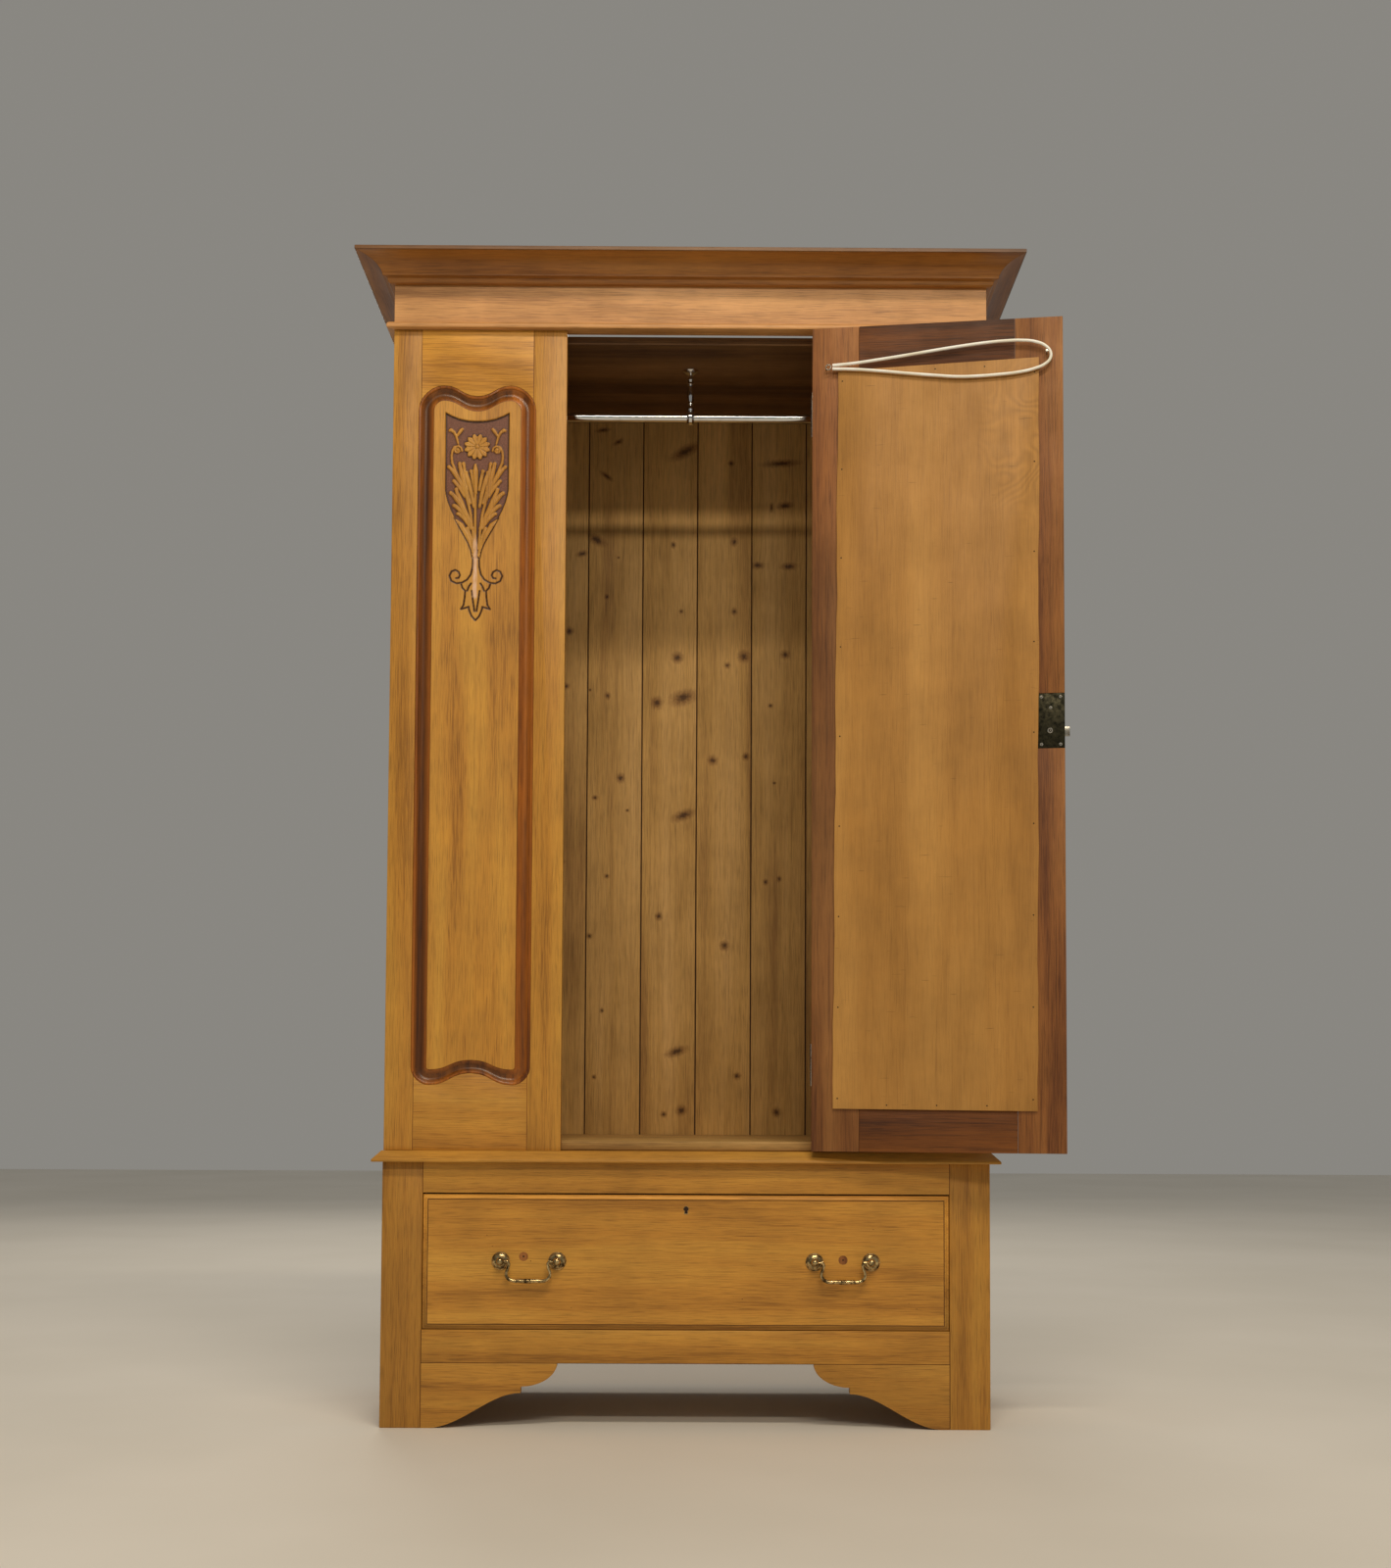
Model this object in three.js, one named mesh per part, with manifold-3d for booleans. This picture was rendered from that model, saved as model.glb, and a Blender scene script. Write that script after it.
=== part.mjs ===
// A single wardrobe with a detachable cornice, one central mirror door between two fixed carved
// flanks, and a base with one long drawer on bracket feet. Millimetres, +Z up, front towards -Y.
// It stands as it is used: the door thrown right back, the drawer shut and the handles hanging.
import * as THREE from 'three';
import { mergeVertices } from 'three/addons/utils/BufferGeometryUtils.js';
import Module from 'manifold-3d';

const wasm = await Module();
wasm.setup();

// ---- Driving sizes ---------------------------------------------------------------------------
const WIDTH = 1013; // across the base and the upper carcase
const HEIGHT = 1980; // floor to the top of the cornice
const DEPTH = 452; // front of the upper carcase to the back
const BASE_FORWARD = 8; // the base's front stands this far in front of the upper carcase's

const FRAME_T = 22; // stiles, rails, door and drawer front
const SIDE_T = 18; // side panels
const BOARD_T = 15.5; // floor board
const CEILING_T = 14;
const BACK_T = 12; // tongued and grooved back boards
const BACK_BOARD_W = 104.4; // cover width of one back board
const BACK_JOINT_X = 13.7; // the joint nearest the middle
const BACK_GROOVE = 1.6; // width of the open joint between two boards

const BASE_H = 458; // floor to the top of the base
const BASE_TOP_T = 18.5;
const WAIST_OUT = 17; // how far the waist moulding stands out
const WAIST_FILLET = 4; // its upright edge
const BASE_STILE_W = 67.5;
const BASE_TOP_RAIL_H = 51;
const BASE_BOTTOM_RAIL_H = 54.5;
const DRAWER_OPENING_H = 226.5;
const BRACKET_L = 226; // bracket foot, from its stile to its tip
const BASE_BACK_CLEAR = 60; // under the base's back board
const RUNNER_H = 20;

const OPENING_W = 422; // doorway
const OUTER_STILE_W = 48;
const INNER_STILE_W = 56.5;
const STILE_CUT = 4.75; // how far the moulded opening is cut into each stile
const PANEL_T = 8;
const PANEL_SET_BACK = 9; // margin of the carved panel behind the frame's face
const FIELD_SET_BACK = 1.5; // and its raised field
const MOULDING_W = 26; // the hollow moulding between the frame and the field
const MOULDING_LIP_W = 6; // its raised lip along the frame
const MOULDING_RISE_W = 8; // its rise to the field
const HOLLOW_DEEP = 6; // bottom of the hollow behind the frame's face

const CORNICE_H = 123;
const CORNICE_OUT = 60;
const CORNICE_MOULD_H = 46; // the coved moulding on the frieze
const FRIEZE_T = 20;
const CEILING_DROP = 2; // ceiling below the carcase's top edge

const RAIL_R = 8; // hanging rail
const RAIL_BACK = 150; // from the front plane
const RAIL_DROP = 85.5; // below the ceiling
const SOCKET_R = 17;
const SOCKET_T = 6;

const DOOR_STILE_W = 79;
const DOOR_TOP_RAIL_H = 114;
const DOOR_BOTTOM_RAIL_H = 104;
const DOOR_FOOT_GAP = 2; // over the waist moulding
const DOOR_HEAD_GAP = 6.75; // under the cornice
const DOOR_OPEN = THREE.MathUtils.degToRad(171);
const HINGE_PROUD = 5; // pin in front of the door's face
const HINGE_H = 70;
const HINGE_LEAF_T = 1.6;
const HINGE_LEAF_W = 19;
const KNUCKLE_R = 4.3;
const PIN_R = 1.8;
const GLASS_T = 5;
const DOOR_MOULDING_W = 14;
const BACKING_T = 4;
const BACKING_HINGE_LAP = 40; // backing board short of the door's hinge edge
const BACKING_LOCK_LAP = 43; // and of its lock edge
const BACKING_FOOT_LAP = 70;
const BACKING_HEAD_LAP = 73;
const BACKING_COVER = 11; // the backing board's lap over the mirror's opening

const LOCK_H = 91;
const LOCK_W = 45;
const LOCK_T = 12;
const LOCK_Z = 1171.5;
const BOLT_H = 16;
const BOLT_T = 5.5;
const BOLT_L = 38;
const BOLT_THROW = 8;
const BOLT_DROP = 17.5; // bolt below the middle of the door's lock
const MORTICE_PLAY = 1; // round a bolt, in the frame that takes it

const WIRE_R = 2.5; // sprung curtain wire in its plastic sleeve
const WIRE_OFF = 9; // its centre from the door's inner face

const DRAWER_SIDE_T = 12;
const DRAWER_SIDE_H = 186;
const DRAWER_L = 400;
const DRAWER_BOTTOM_T = 8;
const DRAWER_BOTTOM_UP = 10; // over the sides' lower edge
const DRAWER_EDGE = 8; // width of the moulded edge of the front
const DRAWER_EDGE_DEEP = 3;
const HANDLE_X = 261; // handle centre from the centre line
const HANDLE_UP = 114; // handle pivots over the drawer opening's bottom
const POST_SPAN = 94; // between a handle's two posts
const ROSE_R = 15;
const POST_OUT = 14; // pivot in front of the drawer
const KNOB_R = 6.5;
const BAIL_R = 2.1;
const BAIL_PIN_R = 1.6;
const BAIL_DROP = 32;
const KEYHOLE_R = 2.8;

// ---- Clearances ------------------------------------------------------------------------------
const GLUE = 0.25; // a closed joint between two fixed pieces
const SLIP = 0.3; // a pin in its hole, a let-in fitting
const DOOR_GAP = 2; // down each edge of the door
const DRAWER_GAP = 1; // round the drawer front

const HALF = WIDTH / 2;
const HALF_DOORWAY = OPENING_W / 2;
const BASE_FRONT = -BASE_FORWARD;
const INNER_X = HALF - SIDE_T; // inner face of a side
const FAR = 200; // longer than any cut needs

// ---- Finishes --------------------------------------------------------------------------------
const finish = (color, roughness, metalness = 0) => ({ color, roughness, metalness });
const SATIN_WALNUT = finish('#b9803f', 0.42);
const DARK_WALNUT = finish('#7a4a28', 0.45);
const MAHOGANY = finish('#6e3319', 0.35);
const PINE = finish('#a87b42', 0.7);
const THIN_BOARD = finish('#bd8448', 0.6);
const CHROME = finish('#d9d9d9', 0.12, 1);
const BRASS = finish('#8c7145', 0.3, 1);
const BRONZE = finish('#3f3a2a', 0.5, 1);
const STEEL = finish('#a9a49a', 0.35, 1);
const MIRROR = finish('#e6ebec', 0.03, 1);
const SLEEVE = finish('#efece2', 0.4);

// ---- Making and placing ----------------------------------------------------------------------
const wardrobe = new THREE.Group();

function add(group, name, geometry, look) {
  const mesh = new THREE.Mesh(geometry, new THREE.MeshStandardMaterial(look));
  mesh.name = name;
  group.add(mesh);
  return mesh;
}

function block(x0, x1, y0, y1, z0, z1) {
  const box = new THREE.BoxGeometry(x1 - x0, y1 - y0, z1 - z0);
  return box.translate((x0 + x1) / 2, (y0 + y1) / 2, (z0 + z1) / 2);
}

// A shape drawn outward from a face (x) and upward (y), run along that face.
function run(shape, length, outward, start, segments = 8) {
  const up = new THREE.Vector3(0, 0, 1);
  const along = new THREE.Vector3().crossVectors(outward, up);
  const bar = new THREE.ExtrudeGeometry(shape,
    { depth: length, bevelEnabled: false, curveSegments: segments });
  bar.applyMatrix4(new THREE.Matrix4().makeBasis(outward, up, along));
  return bar.translate(start.x, start.y, start.z);
}

// An outline in X and Z with its thickness from front y0 to back y1.
function slab(shape, y0, y1, segments = 8) {
  const rightward = new THREE.Vector3(1, 0, 0);
  return run(shape, y1 - y0, rightward, new THREE.Vector3(0, y1, 0), segments);
}

// An outline in X and Y, from z0 up to z1.
function plan(points, z0, z1) {
  const shape = new THREE.Shape(points.map(([x, y]) => new THREE.Vector2(x, y)));
  return new THREE.ExtrudeGeometry(shape, { depth: z1 - z0, bevelEnabled: false }).translate(0, 0, z0);
}

// A turned piece, its profile given as [radius, height] pairs, standing on the axis asked for.
function turned(profile, axis = 'z', segments = 16) {
  const points = profile.map(([radius, height]) => new THREE.Vector2(radius, height));
  const piece = new THREE.LatheGeometry(points, segments);
  if (axis === 'z') piece.rotateX(Math.PI / 2);
  if (axis === 'x') piece.rotateZ(-Math.PI / 2);
  return piece;
}

function mirrored(geometry) {
  const copy = geometry.index ? geometry.toNonIndexed() : geometry.clone();
  const place = copy.attributes.position;
  for (let corner = 0; corner < place.count; corner += 3) {
    const second = new THREE.Vector3().fromBufferAttribute(place, corner + 1);
    const third = new THREE.Vector3().fromBufferAttribute(place, corner + 2);
    place.setXYZ(corner + 1, third.x, third.y, third.z);
    place.setXYZ(corner + 2, second.x, second.y, second.z);
  }
  return copy.scale(-1, 1, 1);
}

// ---- Joining and cutting ---------------------------------------------------------------------
const MERGE = 1e-4;

function solidOf(geometry) {
  const bare = geometry.clone();
  bare.deleteAttribute('normal');
  bare.deleteAttribute('uv');
  const merged = mergeVertices(bare, MERGE);
  const vertProperties = new Float32Array(merged.attributes.position.array);
  const triVerts = new Uint32Array(merged.index.array);
  return new wasm.Manifold(new wasm.Mesh({ numProp: 3, vertProperties, triVerts }));
}

function geometryOf(solid) {
  const { vertProperties, triVerts } = solid.getMesh();
  const geometry = new THREE.BufferGeometry();
  geometry.setAttribute('position', new THREE.BufferAttribute(vertProperties, 3));
  geometry.setIndex(new THREE.BufferAttribute(triVerts, 1));
  geometry.computeVertexNormals();
  return geometry;
}

function joined(...geometries) {
  return geometryOf(geometries.map(solidOf).reduce((whole, next) => whole.add(next)));
}

function cut(geometry, ...cutters) {
  return geometryOf(cutters.map(solidOf).reduce((whole, next) => whole.subtract(next), solidOf(geometry)));
}

function kept(geometry, keeper) {
  return geometryOf(solidOf(geometry).intersect(solidOf(keeper)));
}

// ---- Levels, from the floor up ---------------------------------------------------------------
const BASE_FRAME_TOP = BASE_H - BASE_TOP_T - GLUE;
const DRAWER_HEAD = BASE_FRAME_TOP - BASE_TOP_RAIL_H; // top of the drawer opening
const DRAWER_SILL = DRAWER_HEAD - DRAWER_OPENING_H;
const BRACKET_TOP = DRAWER_SILL - BASE_BOTTOM_RAIL_H - GLUE;
const UPPER_FOOT = BASE_H + GLUE;
const FLOOR_TOP = UPPER_FOOT + BOARD_T;
const CORNICE_FOOT = HEIGHT - CORNICE_H;
const UPPER_HEAD = CORNICE_FOOT - GLUE;
const CEILING_TOP = UPPER_HEAD - CEILING_DROP;
const CEILING_FACE = CEILING_TOP - CEILING_T;
const LOCK_SKIN = 3; // brass in front of a lock's bolt
const DRAWER_BOLT_Y = BASE_FRONT + FRAME_T - LOCK_T + LOCK_SKIN; // front face of the drawer's bolt

// ---- Base ------------------------------------------------------------------------------------
function bracketShape() {
  const tip = BRACKET_L;
  const shoulder = tip - 60; // where the round end meets its step
  const ledge = BRACKET_TOP - 49;
  const step = 10.5;
  const shape = new THREE.Shape();
  shape.moveTo(GLUE, 0);
  shape.lineTo(14, 0);
  shape.bezierCurveTo(69, 2, 114, ledge, shoulder, ledge);
  shape.lineTo(shoulder, ledge + step);
  shape.bezierCurveTo(tip - 27, ledge + step, tip, ledge + step + 18, tip, BRACKET_TOP);
  shape.lineTo(GLUE, BRACKET_TOP);
  shape.closePath();
  return shape;
}

// A board whose top edges fall away outward at the front and both sides.
function waistBoard() {
  const low = BASE_FRAME_TOP + GLUE;
  const wide = HALF + WAIST_OUT;
  const front = BASE_FRONT - WAIST_OUT;
  const sloped = block(-wide, wide, front, DEPTH, low + WAIST_FILLET, BASE_H);
  const place = sloped.attributes.position;
  const fall = WAIST_OUT - 2;
  for (let corner = 0; corner < place.count; corner += 1) {
    const atTop = place.getZ(corner) > BASE_H - 1;
    if (atTop) place.setX(corner, place.getX(corner) - Math.sign(place.getX(corner)) * fall);
    if (atTop && place.getY(corner) < 0) place.setY(corner, place.getY(corner) + fall);
  }
  return joined(block(-wide, wide, front, DEPTH, low, low + WAIST_FILLET), sloped);
}

function makeBase() {
  const base = new THREE.Group();
  wardrobe.add(base);
  const back = BASE_FRONT + FRAME_T;
  const stileEdge = HALF - BASE_STILE_W;
  const railHalf = stileEdge - GLUE;

  const stile = block(stileEdge, HALF, BASE_FRONT, back, 0, BASE_FRAME_TOP);
  add(base, 'base_stile_left', mirrored(stile), SATIN_WALNUT);
  add(base, 'base_stile_right', stile, SATIN_WALNUT);

  // The drawer lock's bolt rises into a mortice in the top rail.
  const mortice = block(-BOLT_H / 2 - MORTICE_PLAY, BOLT_H / 2 + MORTICE_PLAY,
    DRAWER_BOLT_Y - MORTICE_PLAY, DRAWER_BOLT_Y + BOLT_T + MORTICE_PLAY,
    DRAWER_HEAD - 1, DRAWER_HEAD + BOLT_THROW + 2 * MORTICE_PLAY);
  const topRail = block(-railHalf, railHalf, BASE_FRONT, back, DRAWER_HEAD, BASE_FRAME_TOP);
  add(base, 'base_top_rail', cut(topRail, mortice), SATIN_WALNUT);
  add(base, 'base_bottom_rail',
    block(-railHalf, railHalf, BASE_FRONT, back, BRACKET_TOP + GLUE, DRAWER_SILL), SATIN_WALNUT);

  const bracket = slab(bracketShape(), BASE_FRONT, back).translate(-stileEdge, 0, 0);
  add(base, 'bracket_foot_left', bracket, SATIN_WALNUT);
  add(base, 'bracket_foot_right', mirrored(bracket), SATIN_WALNUT);

  const side = block(INNER_X, HALF, back + GLUE, DEPTH, 0, BASE_FRAME_TOP);
  add(base, 'base_side_left', mirrored(side), SATIN_WALNUT);
  add(base, 'base_side_right', side, SATIN_WALNUT);

  const backFace = DEPTH - BACK_T;
  add(base, 'base_back',
    block(-INNER_X + GLUE, INNER_X - GLUE, backFace, DEPTH, BASE_BACK_CLEAR, BASE_FRAME_TOP), PINE);

  // Each runner is as wide as takes it from the side to inside the drawer's own side.
  const runnerX = stileEdge - DRAWER_GAP - DRAWER_SIDE_T - 6;
  const runner = block(runnerX, INNER_X - GLUE, back + GLUE, backFace - GLUE,
    DRAWER_SILL - RUNNER_H, DRAWER_SILL);
  add(base, 'drawer_runner_left', mirrored(runner), PINE);
  add(base, 'drawer_runner_right', runner, PINE);

  add(base, 'base_top', waistBoard(), SATIN_WALNUT);
}

// ---- Drawer ----------------------------------------------------------------------------------
const DRAWER_HALF = HALF - BASE_STILE_W - DRAWER_GAP;
const DRAWER_FOOT = DRAWER_SILL + DRAWER_GAP;
const DRAWER_TOP = DRAWER_HEAD - DRAWER_GAP;
const HANDLE_Z = DRAWER_SILL + HANDLE_UP;
const PIVOT_Y = BASE_FRONT - POST_OUT;
const DRAWER_LOCK_W = 64;
const DRAWER_LOCK_H = 44;
const KEYHOLE_DOWN = 25; // below the drawer front's top edge

function drawerFront() {
  const face = BASE_FRONT + DRAWER_EDGE_DEEP;
  const body = block(-DRAWER_HALF, DRAWER_HALF, face, BASE_FRONT + FRAME_T, DRAWER_FOOT, DRAWER_TOP);
  const field = block(-DRAWER_HALF, DRAWER_HALF, BASE_FRONT, face, DRAWER_FOOT, DRAWER_TOP);
  const middle = (DRAWER_FOOT + DRAWER_TOP) / 2;
  const place = field.attributes.position;
  for (let corner = 0; corner < place.count; corner += 1) {
    if (place.getY(corner) > face - 1) continue;
    place.setX(corner, place.getX(corner) - Math.sign(place.getX(corner)) * DRAWER_EDGE);
    place.setZ(corner, place.getZ(corner) - Math.sign(place.getZ(corner) - middle) * DRAWER_EDGE);
  }
  const keyZ = DRAWER_TOP - KEYHOLE_DOWN;
  const keyhole = turned([[0, -FAR], [KEYHOLE_R, -FAR], [KEYHOLE_R, FAR], [0, FAR]], 'y', 12)
    .translate(0, 0, keyZ);
  const slot = block(-KEYHOLE_R / 2, KEYHOLE_R / 2, -FAR, FAR, keyZ - 7, keyZ);
  const lockBed = block(-DRAWER_LOCK_W / 2 - SLIP, DRAWER_LOCK_W / 2 + SLIP,
    BASE_FRONT + FRAME_T - LOCK_T - SLIP, BASE_FRONT + FRAME_T + 1,
    DRAWER_TOP - DRAWER_LOCK_H - SLIP, DRAWER_TOP + 1);
  return cut(joined(body, field), keyhole, slot, lockBed);
}

// A handle post: a domed rose, a waist, and a knob bored on its inner side for the bail's pin.
function handlePost() {
  const front = POST_OUT;
  const profile = [[0, GLUE], [ROSE_R, GLUE], [ROSE_R, 1.2], [ROSE_R * 0.93, 3.4], [ROSE_R * 0.72, 5.4],
    [ROSE_R * 0.42, 6.6], [3.6, 7.2], [3.6, front - KNOB_R + 1]];
  const steps = 5;
  for (let step = 1; step <= steps; step += 1) {
    const angle = -Math.PI / 3 + (step / steps) * (Math.PI / 3 + Math.PI / 2);
    profile.push([Math.max(0, KNOB_R * Math.cos(angle)), front + KNOB_R * Math.sin(angle)]);
  }
  profile[profile.length - 1][0] = 0;
  const bore = BAIL_PIN_R + SLIP;
  const hole = turned([[0, -FAR], [bore, -FAR], [bore, 3], [0, 3]], 'x', 12);
  // Turned on +Y, then faced about so that the knob points forward.
  const post = turned(profile, 'y', 20).rotateX(Math.PI);
  return cut(post, hole.translate(0, -front, 0));
}

// The swan-necked bail hangs from its two pins, with a swelling in the middle of its grip.
function bail() {
  const half = POST_SPAN / 2;
  const grip = -BAIL_DROP;
  const rightHalf = [[half - 12, 0], [half - 15, -4], [half - 13.5, -11], [half - 10.5, -19],
    [half - 13, -27], [half - 22, grip + 1], [half - 34, grip]];
  const leftHalf = rightHalf.map(([x, z]) => [-x, z]).reverse();
  const route = [...rightHalf, [0, grip], ...leftHalf].map(([x, z]) => new THREE.Vector3(x, 0, z));
  const curve = new THREE.CatmullRomCurve3(route);
  const round = new THREE.Shape();
  round.absarc(0, 0, BAIL_R, 0, Math.PI * 2);
  const wire = new THREE.ExtrudeGeometry(round,
    { steps: 40, extrudePath: curve, bevelEnabled: false, curveSegments: 8 });
  const swell = turned([[0, -17], [BAIL_R, -16], [BAIL_R * 1.45, -8], [BAIL_R * 1.7, 0],
    [BAIL_R * 1.45, 8], [BAIL_R, 16], [0, 17]], 'x', 12).translate(0, 0, grip);
  const reach = half - 1;
  const pin = turned([[0, half - 14], [BAIL_PIN_R, half - 14], [BAIL_PIN_R, reach], [0, reach]], 'x', 12);
  const collar = turned([[0, half - 14], [BAIL_R + 0.8, half - 13], [BAIL_R + 0.8, half - 9.5],
    [0, half - 9]], 'x', 12);
  return joined(wire, swell, pin, collar, mirrored(pin), mirrored(collar));
}

function makeDrawer() {
  const drawer = new THREE.Group();
  wardrobe.add(drawer);
  const behind = BASE_FRONT + FRAME_T + GLUE;
  const sideTop = DRAWER_FOOT + DRAWER_SIDE_H;
  const sideX = DRAWER_HALF - DRAWER_SIDE_T;
  const end = behind + DRAWER_L;
  const bottomZ = DRAWER_FOOT + DRAWER_BOTTOM_UP;

  add(drawer, 'drawer_front', drawerFront(), SATIN_WALNUT);
  // A hair above the runner, so that it slides on a clean face.
  const side = block(sideX, DRAWER_HALF, behind, end, DRAWER_SILL + GLUE, sideTop);
  add(drawer, 'drawer_side_left', mirrored(side), PINE);
  add(drawer, 'drawer_side_right', side, PINE);
  const backRun = end - DRAWER_SIDE_T;
  add(drawer, 'drawer_back', block(-sideX + GLUE, sideX - GLUE, backRun, end,
    bottomZ + DRAWER_BOTTOM_T + GLUE, sideTop - 12), PINE);
  add(drawer, 'drawer_bottom', block(-sideX + GLUE, sideX - GLUE, behind, end,
    bottomZ, bottomZ + DRAWER_BOTTOM_T), PINE);

  const lockFoot = DRAWER_TOP - DRAWER_LOCK_H;
  const lockBack = BASE_FRONT + FRAME_T;
  const boltFoot = lockFoot + 10;
  const lock = block(-DRAWER_LOCK_W / 2, DRAWER_LOCK_W / 2, lockBack - LOCK_T, lockBack,
    lockFoot, DRAWER_TOP);
  const way = block(-BOLT_H / 2 - SLIP, BOLT_H / 2 + SLIP,
    DRAWER_BOLT_Y - SLIP, DRAWER_BOLT_Y + BOLT_T + SLIP, boltFoot - SLIP, FAR + DRAWER_TOP);
  const keyWay = block(-KEYHOLE_R, KEYHOLE_R, lockBack - LOCK_T - 1, DRAWER_BOLT_Y,
    DRAWER_TOP - KEYHOLE_DOWN - 7, DRAWER_TOP - KEYHOLE_DOWN + KEYHOLE_R);
  add(drawer, 'drawer_lock', cut(lock, way, keyWay), BRONZE);
  add(drawer, 'drawer_lock_bolt', block(-BOLT_H / 2, BOLT_H / 2, DRAWER_BOLT_Y, DRAWER_BOLT_Y + BOLT_T,
    boltFoot, DRAWER_TOP - 0.5), BRASS);

  const post = handlePost();
  const grip = bail();
  for (const [which, x] of [['left', -HANDLE_X], ['right', HANDLE_X]]) {
    const inner = x + POST_SPAN / 2;
    const outer = x - POST_SPAN / 2;
    // The right post of a pair is bored on its left side, towards the bail.
    add(drawer, `handle_${which}_post_right`, post, BRASS).position.set(inner, BASE_FRONT, HANDLE_Z);
    add(drawer, `handle_${which}_post_left`, mirrored(post), BRASS).position.set(outer, BASE_FRONT, HANDLE_Z);
    add(drawer, `handle_${which}_bail`, grip, BRASS).position.set(x, PIVOT_Y, HANDLE_Z);
  }
}

// ---- Upper carcase ---------------------------------------------------------------------------
// A serpentine-headed outline: rounded shoulders with a dip between them, and a lower edge that
// rises to the middle.
function serpentine(path, half, top, bottom, corner, dip, footCorner, rise) {
  const round = 0.45; // how full the corners are
  const peak = half - corner;
  const ease = peak * 0.46;
  const foot = half - footCorner;
  const footEase = foot * 0.5;
  path.moveTo(half, bottom + footCorner);
  path.lineTo(half, top - corner);
  path.bezierCurveTo(half, top - corner * round, peak + corner * round, top, peak, top);
  path.bezierCurveTo(peak - ease, top, ease, top - dip, 0, top - dip);
  path.bezierCurveTo(-ease, top - dip, -peak + ease, top, -peak, top);
  path.bezierCurveTo(-peak - corner * round, top, -half, top - corner * round, -half, top - corner);
  path.lineTo(-half, bottom + footCorner);
  path.bezierCurveTo(-half, bottom + footCorner * round, -foot - footCorner * round, bottom, -foot, bottom);
  path.bezierCurveTo(-foot + footEase, bottom, -footEase, bottom + rise, 0, bottom + rise);
  path.bezierCurveTo(footEase, bottom + rise, foot - footEase, bottom, foot, bottom);
  path.bezierCurveTo(foot + footCorner * round, bottom, half, bottom + footCorner * round,
    half, bottom + footCorner);
  return path;
}

const CORNER = 43;
const DIP = 18.5;
const FOOT_CORNER = 30;
const RISE = 20;

// The outline at a distance inside the edge of the cut opening.
function outline(path, half, top, bottom, inside) {
  return serpentine(path, half - inside, top - inside, bottom + inside,
    Math.max(CORNER - inside, 6), DIP, Math.max(FOOT_CORNER - inside, 4), RISE - inside * 0.15);
}

const FLANK_MIDDLE = (HALF - OUTER_STILE_W + HALF_DOORWAY + INNER_STILE_W) / 2;
const FLANK_OPENING_HALF = (HALF - OUTER_STILE_W - HALF_DOORWAY - INNER_STILE_W) / 2 + STILE_CUT;
const FLANK_OPENING_TOP = UPPER_HEAD - 96.5;
const FLANK_OPENING_FOOT = UPPER_FOOT + 108.75;

// The frame is drawn about its opening's middle line, as seen from the front on the right.
function flankFrame() {
  const right = HALF - FLANK_MIDDLE;
  const left = HALF_DOORWAY - FLANK_MIDDLE;
  const shape = new THREE.Shape();
  shape.moveTo(left, UPPER_FOOT);
  shape.lineTo(right, UPPER_FOOT);
  shape.lineTo(right, UPPER_HEAD);
  shape.lineTo(left, UPPER_HEAD);
  shape.closePath();
  shape.holes.push(outline(new THREE.Path(), FLANK_OPENING_HALF, FLANK_OPENING_TOP, FLANK_OPENING_FOOT, 0));
  return slab(shape, 0, FRAME_T, 6).translate(FLANK_MIDDLE, 0, 0);
}

// A band between two distances inside the opening's edge.
function ring(half, top, bottom, outer, inner, y0, y1) {
  const shape = outline(new THREE.Shape(), half, top, bottom, outer);
  shape.holes.push(outline(new THREE.Path(), half, top, bottom, inner));
  return joined(slab(shape, y0, y1, 6));
}

const hingeLevels = [UPPER_FOOT + 145, UPPER_HEAD - 150];
const HINGE_X = HALF_DOORWAY - DOOR_GAP / 2;
const LEAF_EDGE = 0.1; // from a leaf's face to the middle of the door gap
const LEAF_STEP = HINGE_LEAF_T + LEAF_EDGE - DOOR_GAP / 2; // how deep a leaf is let in
const BOLT_FRONT = FRAME_T - LOCK_T + LOCK_SKIN; // front face of the door's bolt

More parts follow.
